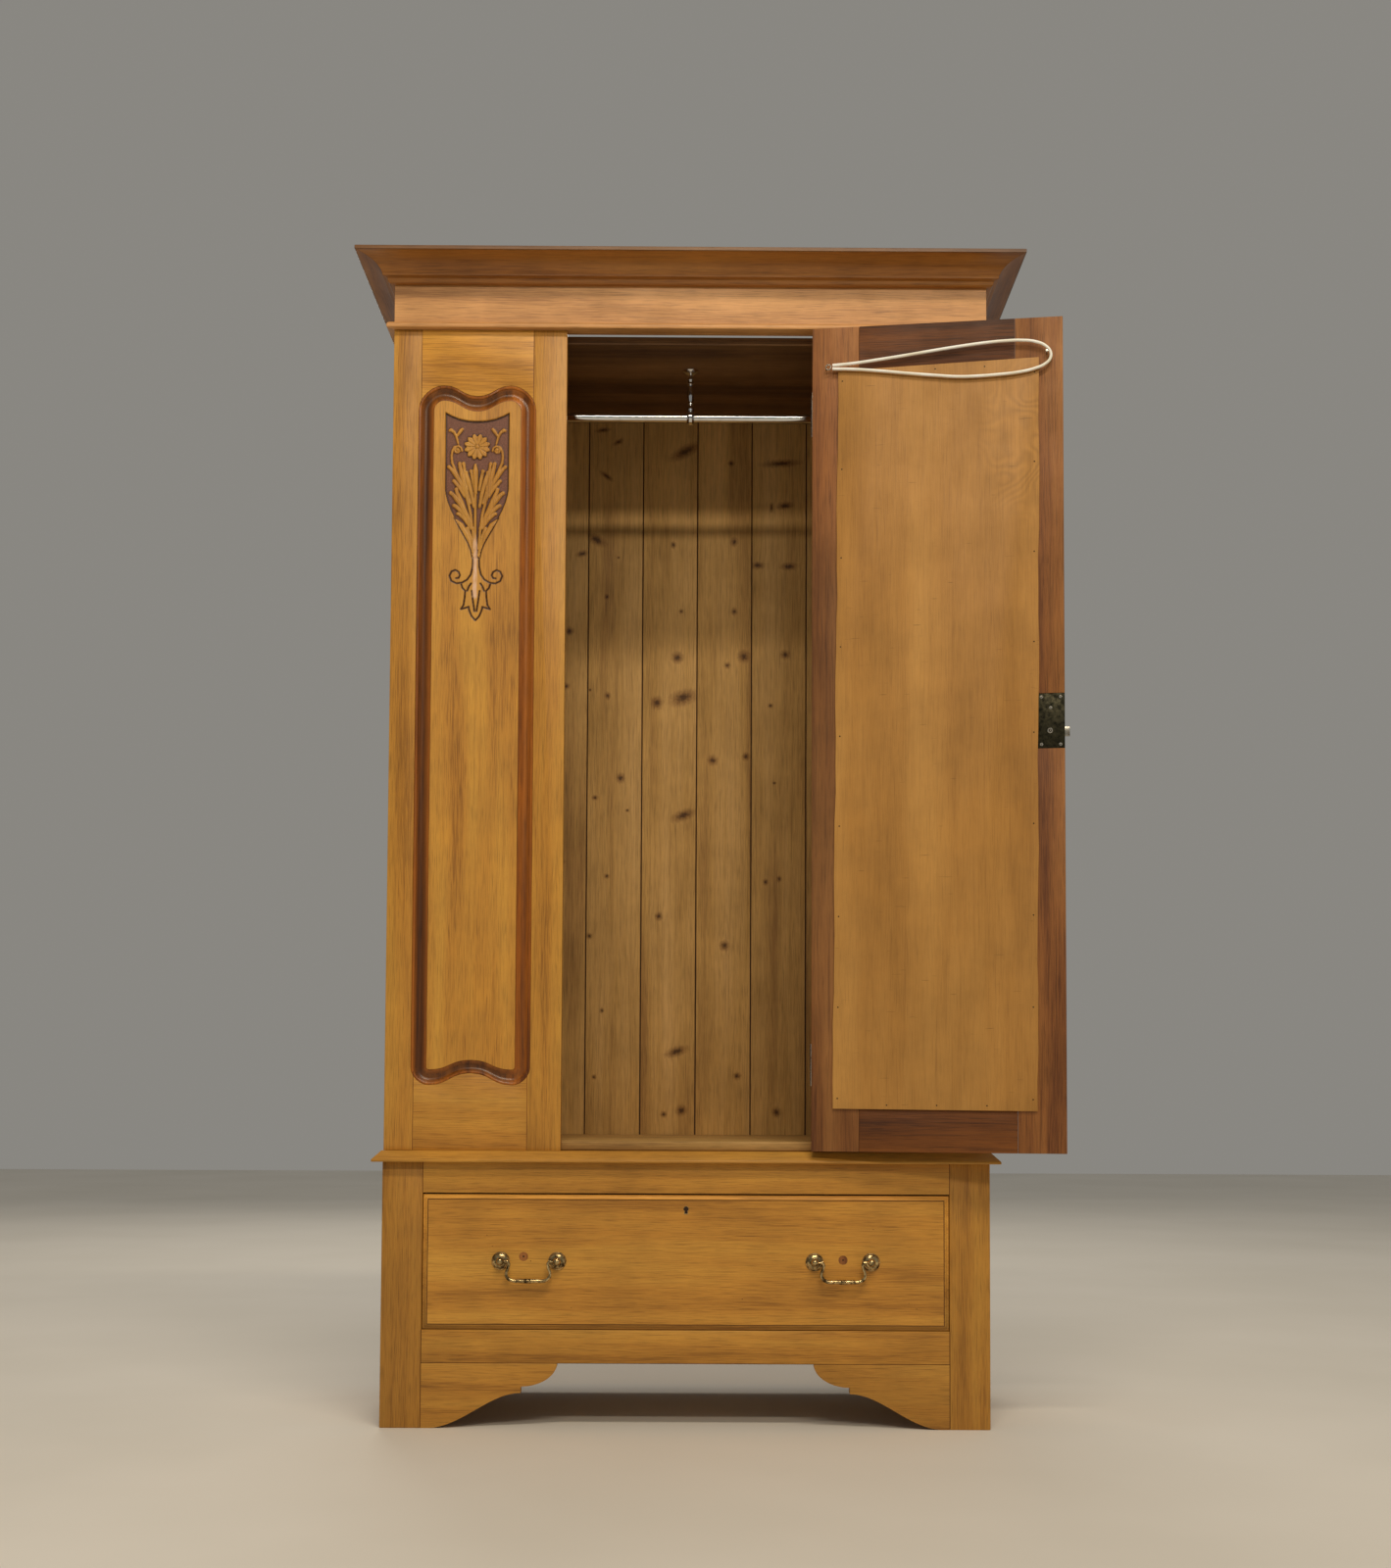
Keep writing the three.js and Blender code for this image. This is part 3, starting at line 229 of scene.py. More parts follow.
def fit(name, shape, finish, body="carcase", stands_for=(), grain="z", tone=0.5, place=CARCASE,
        crease=32):
    """Sets a finished shape in its place on its body. Grain is the way that the board's fibres run,
    and tone is how pale a board it was cut from, from 0 to 1, the same all over or by place; tone set by
    place paints light and shade."""
    seed = sum(ord(letter) * (place_in_name + 3) for place_in_name, letter in enumerate(name)) % 211
    own_place = Vector((seed * 0.173, seed * 0.311, seed * 0.097))
    along, across, through = GRAIN_ORDER[grain]
    fibres = shape.verts.layers.float_vector.new("grain")
    shade = shape.verts.layers.float.new("tone")
    for point in shape.verts:
        lie = point.co * MM
        point[fibres] = Vector((lie[along], lie[across], lie[through])) + own_place
        point[shade] = tone(point.co) if callable(tone) else tone
    for face in shape.faces:
        face.smooth = True
    shape.transform(place)
    mesh = bpy.data.meshes.new(name)
    shape.to_mesh(mesh)
    shape.free()
    mesh.set_sharp_from_angle(angle=math.radians(crease))
    mesh.materials.append(FINISHES[finish])
    piece = bpy.data.objects.new(name, mesh)
    bpy.context.scene.collection.objects.link(piece)
    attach(piece, body)
    if stands_for:
        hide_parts(*([stands_for] if isinstance(stands_for, str) else stands_for))
    return piece


# ---- Finishes --------------------------------------------------------------------------------
def colour(code):
    """An sRGB hex colour as linear light."""
    parts = [int(code[place:place + 2], 16) / 255 for place in (1, 3, 5)]
    return [part / 12.92 if part <= 0.04045 else ((part + 0.055) / 1.055) ** 2.4 for part in parts] + [1]


def add(tree, kind, links=None, stops=None, **settings):
    """Adds a node with its settings and links. Links are sockets or plain values, by input."""
    made = tree.nodes.new("ShaderNode" + kind)
    for setting, value in settings.items():
        setattr(made, setting, value)
    if stops:
        band = made.color_ramp.elements
        while len(band) < len(stops):
            band.new(1)
        for stop, (position, value) in zip(band, stops):
            stop.position = position
            stop.color = colour(value) if isinstance(value, str) else (value, value, value, 1)
    for socket, value in (links or {}).items():
        if isinstance(value, bpy.types.NodeSocket):
            tree.links.new(value, made.inputs[socket])
        else:
            made.inputs[socket].default_value = value
    return made


def ranged(tree, value, low, high, first=0, last=1):
    return add(tree, "MapRange", {"Value": value, "From Min": low, "From Max": high, "To Min": first,
                                  "To Max": last})


def times(tree, vector, by):
    return add(tree, "VectorMath", {0: vector, 1: by}, operation="MULTIPLY")


def noise(tree, where, scale, detail=2, roughness=0.5):
    return add(tree, "TexNoise", {"Vector": where, "Scale": scale, "Detail": detail,
                                  "Roughness": roughness})


def start(name, **sockets):
    """A new finish, with the shader's own sockets set."""
    finish = bpy.data.materials.new(name)
    finish.use_nodes = True
    tree = finish.node_tree
    shader = tree.nodes["Principled BSDF"]
    for socket, value in sockets.items():
        shader.inputs[socket.replace("_", " ")].default_value = value
    return finish, tree, shader


def timber(name, pale, middle, dark, streak, streaks=0.6, fleck=0.4, figure=24, rings=0.0, pores=0.35,
           lift=0.32, rough=(0.38, 0.52), relief=0.06, knots=(), **sockets):
    """Planed timber. Figure is how many bands of colour lie in a hundred-odd millimetres of width,
    rings how strongly its growth rings show, and lift how much a pale board differs from a dark one."""
    finish, tree, shader = start(name, Specular_IOR_Level=0.34, **sockets)
    grain = add(tree, "Attribute", attribute_name="grain").outputs["Vector"]
    tone = add(tree, "Attribute", attribute_name="tone").outputs["Fac"]
    sway = times(tree, grain, (1.6, 7, 7))
    drift = noise(tree, sway.outputs[0], 1)
    wander = add(tree, "VectorMath", {0: drift.outputs["Color"], 1: (0, 0.016, 0.016), 2: grain},
                 operation="MULTIPLY_ADD")

    # Wide soft bands, then narrow streaks a few millimetres wide and a hundred or so long.
    wide = times(tree, wander.outputs[0], (1.3, figure, figure))
    bands = noise(tree, wide.outputs[0], 1, 4, 0.55)
    base = add(tree, "ValToRGB", {0: bands.outputs["Fac"]},
               stops=[(0.3, dark), (0.47, middle), (0.68, pale)])
    narrow = times(tree, wander.outputs[0], (4, 210, 210))
    lines = noise(tree, narrow.outputs[0], 1, 5, 0.62)
    share = add(tree, "ValToRGB", {0: lines.outputs["Fac"]}, stops=[(0.52, 0), (0.74, streaks)])
    streaked = add(tree, "Mix", {0: share.outputs["Color"], 6: base.outputs["Color"], 7: colour(streak)},
                   data_type="RGBA")
    # Flecks of darker wood, two millimetres wide and a finger long, come and go in patches.
    short = times(tree, wander.outputs[0], (16, 640, 640))
    flecks = noise(tree, short.outputs[0], 1)
    patchy = add(tree, "Math", {0: flecks.outputs["Fac"], 1: bands.outputs["Fac"]}, operation="SUBTRACT")
    few = ranged(tree, patchy.outputs[0], 0.1, 0.2, 0, fleck)
    flecked = add(tree, "Mix", {0: few.outputs[0], 6: streaked.outputs[2], 7: colour(streak)},
                  data_type="RGBA")
    shown = flecked.outputs[2]

    place = None
    nearest = None
    if knots:
        place = add(tree, "TexCoord").outputs["Object"]
        for x, z, half_wide, half_high, lean in knots:
            middle_of = CARCASE @ Vector((x, DEPTH, z))
            turn = add(tree, "VectorRotate", {"Vector": place, "Center": middle_of,
                       "Angle": math.radians(lean)}, rotation_type="Y_AXIS")
            away = add(tree, "VectorMath", {0: turn.outputs[0], 1: middle_of}, operation="SUBTRACT")
            sized = times(tree, away.outputs[0], (1 / (half_wide * MM), 0, 1 / (half_high * MM)))
            reach = add(tree, "VectorMath", {0: sized.outputs[0]}, operation="LENGTH").outputs["Value"]
            nearest = reach if nearest is None else add(
                tree, "Math", {0: nearest, 1: reach}, operation="MINIMUM").outputs[0]
    if rings:
        # Growth rings about 9 mm apart, which part round a knot.
        width = add(tree, "SeparateXYZ", {0: wander.outputs[0]}).outputs["Y"]
        phase = add(tree, "Math", {0: width, 1: 620}, operation="MULTIPLY").outputs[0]
        swirl = add(tree, "Math", {0: bands.outputs["Fac"], 1: 9, 2: phase},
                    operation="MULTIPLY_ADD").outputs[0]
        if nearest is not None:
            softly = add(tree, "Math", {0: nearest, 1: -0.7}, operation="MULTIPLY").outputs[0]
            near = add(tree, "Math", {0: softly}, operation="EXPONENT").outputs[0]
            swirl = add(tree, "Math", {0: near, 1: 9, 2: swirl}, operation="MULTIPLY_ADD").outputs[0]
        wave = add(tree, "Math", {0: swirl}, operation="SINE").outputs[0]
        ring = ranged(tree, wave, 0.1, 1, 0, rings)
        ringed = add(tree, "Mix", {0: ring.outputs[0], 6: shown, 7: colour(dark)}, data_type="RGBA")
        shown = ringed.outputs[2]
    if nearest is not None:
        rim = noise(tree, place, 260, 3)
        ragged = add(tree, "Math", {0: rim.outputs["Fac"], 1: 0.9, 2: nearest}, operation="MULTIPLY_ADD")
        halo = ranged(tree, ragged.outputs[0], 1.1, 2.0, 0.62, 0)
        knotted = add(tree, "Mix", {0: halo.outputs[0], 6: shown, 7: colour("#6a3e1c")}, data_type="RGBA")
        heart = ranged(tree, ragged.outputs[0], 0.7, 1.15, 0.75, 0)
        cored = add(tree, "Mix", {0: heart.outputs[0], 6: knotted.outputs[2], 7: colour("#34190c")},
                    data_type="RGBA")
        shown = cored.outputs[2]

    # Open pores, under a millimetre wide and drawn a little coarse so that they show.
    fine = times(tree, grain, (26, 900, 900))
    pore = noise(tree, fine.outputs[0], 1)
    depth = ranged(tree, pore.outputs["Fac"], 0.5, 0.72, 1, 1 - pores)
    pored = times(tree, shown, depth.outputs[0])
    cast = ranged(tree, tone, 0, 1, 1 - lift, 1 + lift)
    cut = times(tree, pored.outputs[0], cast.outputs[0])
    # Handling leaves the polish uneven and a little dirtier in patches.
    handled = noise(tree, grain, 9, 5, 0.6)
    soil = ranged(tree, handled.outputs["Fac"], 0.35, 0.7, 1.07, 0.86)
    soiled = times(tree, cut.outputs[0], soil.outputs[0])
    tree.links.new(soiled.outputs[0], shader.inputs["Base Color"])
    sheen = ranged(tree, handled.outputs["Fac"], 0.3, 0.7, rough[0], rough[1])
    tree.links.new(sheen.outputs[0], shader.inputs["Roughness"])
    raised = add(tree, "Math", {0: pore.outputs["Fac"], 1: lines.outputs["Fac"]}, operation="ADD")
    bump = add(tree, "Bump", {"Height": raised.outputs[0], "Strength": relief * 10, "Distance": 0.0003})
    tree.links.new(bump.outputs[0], shader.inputs["Normal"])
    return finish, tree, shader


def satin_walnut():
    """American satin walnut, planed, sealed and wax polished: even honey brown, thin wandering
    streaks of brown and a low silky sheen."""
    return timber("satin_walnut", "#d29b40", "#c58b36", "#b67e2f", "#7c4c1a", streaks=0.26,
                  fleck=0.36, Coat_Weight=0.1, Coat_Roughness=0.34)[0]


def redder_shaded_walnut():
    """The same timber, redder and darker with a little more gloss: its darkness is painted shade, for coved
    mouldings and quirks.
    """
    return timber("redder_shaded_walnut", "#b87d38", "#a56a2b", "#8c541e", "#5c3110", streaks=0.4, figure=18,
                  lift=0.55, Coat_Weight=0.16, Coat_Roughness=0.28, rough=(0.34, 0.48))[0]


def frieze_walnut():
    """A paler, pinker board of the same timber, with dust in its polish."""
    return timber("frieze_walnut", "#d6a062", "#c89258", "#b48048", "#84542c", streaks=0.35, figure=18,
                  Coat_Weight=0.12, Coat_Roughness=0.34)[0]


def carved_walnut():
    """A satin walnut panel whose carver's ground was matted and stained: purple brown between the
    leaves, with painted shade dark in every cut and hollow and a painted highlight along the stem."""
    finish, tree, shader = timber("carved_walnut", "#d29b40", "#c68c37", "#b97f2f", "#7c4c1a",
                                  streaks=0.28, fleck=0.45, Coat_Weight=0.1, Coat_Roughness=0.32)
    flat = shader.inputs["Base Color"].links[0].from_socket
    cut = add(tree, "Attribute", attribute_name="ground").outputs["Fac"]
    place = add(tree, "TexCoord").outputs["Object"]
    # Punch marks about 1.2 mm apart.
    punched = add(tree, "TexVoronoi", {"Vector": place, "Scale": 800})
    mottle = add(tree, "ValToRGB", {0: punched.outputs["Distance"]},
                 stops=[(0.1, "#452315"), (0.6, "#794a36"), (1.0, "#93604a")])
    stained = add(tree, "Mix", {0: cut, 6: flat, 7: mottle.outputs["Color"]}, data_type="RGBA")
    # Painted shade: every cut and hollow is darkened.
    crease = add(tree, "Attribute", attribute_name="crease").outputs["Fac"]
    dark = add(tree, "Mix", {0: crease, 6: stained.outputs[2], 7: colour("#3a1b09")}, data_type="RGBA")
    # A painted highlight lies along the stem's ridge in short pale streaks.
    bare = add(tree, "Attribute", attribute_name="stem_highlight").outputs["Fac"]
    combed = add(tree, "Mapping", {"Vector": place, "Scale": (700, 700, 60)})
    strokes = noise(tree, combed.outputs[0], 1)
    share = add(tree, "Math", {0: bare, 1: strokes.outputs["Fac"]}, operation="MULTIPLY")
    shown = ranged(tree, share.outputs[0], 0.24, 0.52, 0, 0.9)
    stem_highlight = add(tree, "Mix", {0: shown.outputs[0], 6: dark.outputs[2], 7: colour("#eac3a8")},
                 data_type="RGBA")
    tree.links.new(stem_highlight.outputs[2], shader.inputs["Base Color"])
    return finish


def door_walnut():
    """Inside of the door's frame, oiled but never polished: dull reddish brown, strongly streaked."""
    return timber("door_walnut", "#a6713c", "#8d592b", "#714220", "#482310", streaks=0.6, figure=20,
                  rough=(0.5, 0.66), relief=0.1)[0]


def black_walnut():
    """Dark rails of the door's frame, heartwood: purplish brown with nearly black lines."""
    return timber("dark_walnut", "#88501c", "#6c3c12", "#4e280a", "#2a1204", streaks=0.75, figure=16,
                  rough=(0.5, 0.66), relief=0.12)[0]


def mahogany():
    """Stained mahogany moulding under shellac: deep red brown with a clear gloss."""
    return timber("mahogany", "#985916", "#7e460d", "#5e3007", "#351a03", streaks=0.4, figure=60,
                  lift=0.6, rough=(0.3, 0.42), relief=0.03, Coat_Weight=0.25, Coat_Roughness=0.2)[0]


def pine(name="pine", knots=()):
    """Deal boards, bare and gone brown with age: bands of growth ring, dark resinous knots, no shine."""
    return timber(name, "#d4aa6a", "#c59b59", "#ab8148", "#745230", streaks=0.32, figure=20, rings=0.22,
                  fleck=0.3, rough=(0.58, 0.74), relief=0.1, knots=knots)[0]


def painted_shade_pine():
    """Boards over the hanging rail: the same deal painted dark brown, as painted shade."""
    return timber("painted_shade_pine", "#8a6238", "#76522c", "#5a3a20", "#382211", streaks=0.4, figure=20,
                  rings=0.3, rough=(0.6, 0.75), relief=0.1)[0]


def thin_board():
    """Mirror backing, a wide thin board of close-grained hardwood with a thin wax: even orange tan,
    faint cross figure and a few scratches."""
    finish, tree, shader = timber("backing_board", "#c4924c", "#b4823f", "#a47434", "#7c5024",
                                  streaks=0.2, fleck=0.12, figure=9, pores=0.16, rough=(0.46, 0.6),
                                  relief=0.05)
    grained = shader.inputs["Base Color"].links[0].from_socket
    place = add(tree, "TexCoord").outputs["Object"]
    # One patch of curly figure by the top corner, in lines about 6 mm apart.
    squeezed = times(tree, place, (8, 0, 9))
    hills = noise(tree, squeezed.outputs[0], 1, 1.5)
    steps = add(tree, "Math", {0: hills.outputs["Fac"], 1: 130}, operation="MULTIPLY")
    contour = add(tree, "Math", {0: steps.outputs[0]}, operation="SINE")
    off = add(tree, "VectorMath", {0: place, 1: (0.525, 0, 1.645)}, operation="SUBTRACT")
    sized = times(tree, off.outputs[0], (15, 0, 8))
    away = add(tree, "VectorMath", {0: sized.outputs[0]}, operation="LENGTH")
    patch = ranged(tree, away.outputs["Value"], 0.5, 1.3, 0.09, 0)
    curl = add(tree, "Math", {0: contour.outputs[0], 1: patch.outputs[0], 2: 1.0}, operation="MULTIPLY_ADD")
    curly = times(tree, grained, curl.outputs[0])
    grained = curly.outputs[0]
    # Short scratches, half a millimetre wide, that lean both ways.
    stretched = add(tree, "Mapping", {"Vector": place, "Rotation": (0, 0.7, 0), "Scale": (24, 24, 330)})
    marks = noise(tree, stretched.outputs[0], 1)
    wear_and_shade = ranged(tree, marks.outputs["Fac"], 0.72, 0.78, 1, 0.6)
    marked = times(tree, grained, wear_and_shade.outputs[0])
    tree.links.new(marked.outputs[0], shader.inputs["Base Color"])
    return finish


def metal(name, bright, dull, rough, spots=60, share=(0.42, 0.62), relief=0.15, **sockets):
    """Metal that is bright where hands polish it and dull where they don't."""
    finish, tree, shader = start(name, Metallic=1.0, **sockets)
    place = add(tree, "TexCoord").outputs["Object"]
    wear_and_shade = noise(tree, place, spots, 5, 0.65)
    tint = add(tree, "ValToRGB", {0: wear_and_shade.outputs["Fac"]}, stops=[(share[0], bright), (share[1], dull)])
    tree.links.new(tint.outputs["Color"], shader.inputs["Base Color"])
    gloss = ranged(tree, wear_and_shade.outputs["Fac"], share[0], share[1], rough[0], rough[1])
    tree.links.new(gloss.outputs[0], shader.inputs["Roughness"])
    grit = noise(tree, place, spots * 14)
    bump = add(tree, "Bump", {"Height": grit.outputs["Fac"], "Strength": relief, "Distance": 0.0002})
    tree.links.new(bump.outputs[0], shader.inputs["Normal"])
    return finish


def chrome_plate():
    """Chromium on steel tube: a hard mirror with a little dust and fine rubbing."""
    return metal("chrome_plate", "#d6d8da", "#b4b4b2", (0.06, 0.2), spots=40, share=(0.5, 0.8), relief=0.03)


def antique_brass():
    """Cast brass under old lacquer: nearly black in its hollows, pale gold where hands rub it."""
    return metal("antique_brass", "#d2b884", "#3c2e1c", (0.14, 0.36), spots=110, share=(0.4, 0.62))


def lock_bronze():
    """Lock case of dull bronzed brass, gone olive black."""
    return metal("lock_bronze", "#423f31", "#1f1f19", (0.42, 0.62), spots=140, share=(0.35, 0.65))


def worn_steel():
    """Iron screws, hinges and bolt: grey, brown in spots with old rust."""
    return metal("steel", "#b0aca2", "#5d4c3c", (0.26, 0.5), spots=150, share=(0.5, 0.68))


def mirror_glass():
    """Silvered plate glass: a true reflection, with specks of tarnish that gather at the bevel."""
    finish, tree, shader = start("mirror_glass", Metallic=1.0, Roughness=0.02)
    place = add(tree, "TexCoord").outputs["Object"]
    specks = add(tree, "TexVoronoi", {"Vector": place, "Scale": 55, "Randomness": 1})
    cloud = noise(tree, place, 6, 4)
    mixed = add(tree, "Math", {0: specks.outputs["Distance"], 1: cloud.outputs["Fac"]},
                operation="MULTIPLY")
    tint = add(tree, "ValToRGB", {0: mixed.outputs[0]}, stops=[(0.02, "#6b6357"), (0.05, "#e4e9ea")])
    tree.links.new(tint.outputs["Color"], shader.inputs["Base Color"])
    return finish


def white_sleeve():
    """PVC sleeve over a sprung wire: off-white, semi-gloss, yellowed in patches."""
    finish, tree, shader = start("wire_sleeve", Roughness=0.34, IOR=1.53, Subsurface_Weight=0.05)
    place = add(tree, "TexCoord").outputs["Object"]
    aged = noise(tree, place, 30, 3)
    tint = add(tree, "ValToRGB", {0: aged.outputs["Fac"]}, stops=[(0.35, "#fbfaf4"), (0.7, "#e9e2cd")])
    tree.links.new(tint.outputs["Color"], shader.inputs["Base Color"])
    coil = noise(tree, place, 900, 1)
    bump = add(tree, "Bump", {"Height": coil.outputs["Fac"], "Strength": 0.15, "Distance": 0.0002})
    tree.links.new(bump.outputs[0], shader.inputs["Normal"])
    return finish


def hole_dirt_and_shade():
    """Bottom of a hole, a slot or a gap in old timber: bare and dirty, and nearly black with painted shade.
    """
    finish, tree, shader = start("hole_dirt_and_shade", Roughness=0.9)
    place = add(tree, "TexCoord").outputs["Object"]
    dirt = noise(tree, place, 400, 3)
    tint = add(tree, "ValToRGB", {0: dirt.outputs["Fac"]}, stops=[(0.3, "#1a0d06"), (0.7, "#38200f")])
    tree.links.new(tint.outputs["Color"], shader.inputs["Base Color"])
    return finish


FINISHES = {
    "satin_walnut": satin_walnut(),
    "redder_shaded_walnut": redder_shaded_walnut(),
    "frieze_walnut": frieze_walnut(),
    "carved_walnut": carved_walnut(),
    "door_walnut": door_walnut(),
    "dark_walnut": black_walnut(),
    "mahogany": mahogany(),
    "pine": pine(),
    "painted_shade_pine": painted_shade_pine(),
    "backing_board": thin_board(),
    "chrome_plate": chrome_plate(),
    "antique_brass": antique_brass(),
    "lock_bronze": lock_bronze(),
    "steel": worn_steel(),
    "mirror_glass": mirror_glass(),
    "wire_sleeve": white_sleeve(),
    "hole_dirt_and_shade": hole_dirt_and_shade(),
}
SLOTS = {finish: finish for finish in FINISHES}
SLOTS["redder_shaded_walnut"] = SLOTS["frieze_walnut"] = "satin_walnut"
SLOTS["carved_walnut"] = SLOTS["door_walnut"] = "satin_walnut"
SLOTS["painted_shade_pine"] = "pine"
SLOTS["hole_dirt_and_shade"] = "satin_walnut"


# ---- Outlines --------------------------------------------------------------------------------
def bezier(start_at, pull, push, end_at, steps=12):
    """Points along a cubic curve, after its start."""
    points = []
    for step in range(1, steps + 1):
        t = step / steps
        weights = ((1 - t) ** 3, 3 * t * (1 - t) ** 2, 3 * t * t * (1 - t), t ** 3)
        points.append(tuple(sum(weight * corner[side] for weight, corner in
                                zip(weights, (start_at, pull, push, end_at))) for side in (0, 1)))
    return points


def serpentine(half, top, bottom, inside=0):
    """The serpentine-headed opening, drawn at a distance inside its cut edge."""
    half, top, bottom = half - inside, top - inside, bottom + inside
    corner, dip = max(43 - inside, 6), 18.5
    foot_corner, rise = max(30 - inside, 4), 20 - inside * 0.15
    full = 0.45
    peak, foot = half - corner, half - foot_corner
    ease_in, foot_ease = peak * 0.46, foot * 0.5
    right = [(half, bottom + foot_corner), (half, top - corner)]
    right += bezier(right[-1], (half, top - corner * full), (peak + corner * full, top), (peak, top))
    right += bezier(right[-1], (peak - ease_in, top), (ease_in, top - dip), (0, top - dip), 16)
    low = [(0, bottom + rise)]
    low += bezier(low[-1], (foot_ease, bottom + rise), (foot - foot_ease, bottom), (foot, bottom), 16)
    low += bezier(low[-1], (foot + foot_corner * full, bottom), (half, bottom + foot_corner * full),
                  (half, bottom + foot_corner), 8)
    left = [(-x, z) for x, z in reversed(right[:-1])]
    low_left = [(-x, z) for x, z in reversed(low[1:-1])]
    return right + left + low_left + low[:-1]


FLANK = (100.25, 1760.25, 567)
FLANK_MIDDLE = 363
DOOR_OPENING = (134.75, 1766.25, 541)


def moulding(opening, section, middle=0):
    """A closed section of (distance inside, y) pairs run round an opening and mitred on itself."""
    return loops_bridged([[(x + middle, y, z) for x, z in serpentine(*opening, inside)]
                          for inside, y in section], closed=True)


def plate(points, front, back, width=0.8):
    return ease(sawn(points, front, back), width)


# ---- Carving ---------------------------------------------------------------------------------
FIELD_INSIDE = 26.25
FIELD_FRONT = 1.5
GROUND_DEEP = 3.2
KNOTS = [
    (-243.9, 991.3, 7, 5, 0), (-235.6, 1328.6, 5, 5, 0), (-230.8, 1434.8, 7, 7, 0),
    (-207.6, 1585.3, 10, 5, 15), (-190.5, 1321.3, 2.5, 2.5, 0), (-188.7, 849.4, 4.5, 5, 0),
    (-179.6, 1612.1, 16, 8, -28), (-179.5, 1113.7, 5, 4, 0), (-177.4, 581.7, 4, 4, 0),
    (-169.8, 1826.6, 12, 4, 8), (-163.5, 707.9, 3.5, 4, 0), (-161.6, 1736.5, 12, 4, -38),
    (-159.9, 1501.7, 4, 4.5, 0), (-156.7, 1310.1, 5, 6, 0), (-156, 963.7, 4, 4, 0),
    (-139.5, 1803.8, 9, 4, 30), (-137.9, 1578, 2.5, 2.5, 0), (-131.2, 1151.6, 7, 8, 0),
    (-117.7, 1089.6, 3, 3, 0), (-89.6, 1084.1, 3, 3, 0), (-62.8, 1297.3, 10, 10, 10),
    (-56.7, 887.4, 6, 6.5, 0), (-45.3, 511.9, 5, 5, 0), (-32.6, 1603.4, 4.5, 5.5, 0),
    (-23.9, 1384.7, 9.5, 9, 0), (-21.8, 630.6, 18, 7, 18), (-16.9, 1474, 3.5, 4, 0),
    (-12.3, 1307.1, 22, 12, 16), (-11.9, 519.5, 9, 8, 20), (-11.1, 1080.7, 19, 8, 20),
    (-10.9, 1785.3, 26, 9, 28), (44.5, 1186.5, 8, 8, 0), (68.4, 832, 7.5, 8, 0),
    (71.9, 1370, 5, 5, 0), (77.9, 1762.9, 5, 5, 0), (84.1, 1609.8, 6, 7, 0),
    (84.6, 1474.5, 5, 6, 0), (93.5, 584.8, 6, 6, 0), (103.7, 1387.3, 10, 10, 0),
    (108.2, 1194.4, 6, 7, 0), (129.5, 1564.3, 10, 6, 0), (146.3, 953.9, 4, 5, 0),
    (154.7, 1292.8, 4, 4, 0), (155.6, 1677.1, 3, 8, 0), (162.6, 1143.7, 3, 3, 0),
    (167.9, 516.6, 7, 8, 0), (172.4, 959.7, 4, 5, 0), (174.2, 1763.4, 30, 6, 4),
    (181.9, 1681.1, 13, 6, 8), (182.6, 1391.5, 8, 7, 0), (189.8, 1562.7, 14, 6, 4),
]
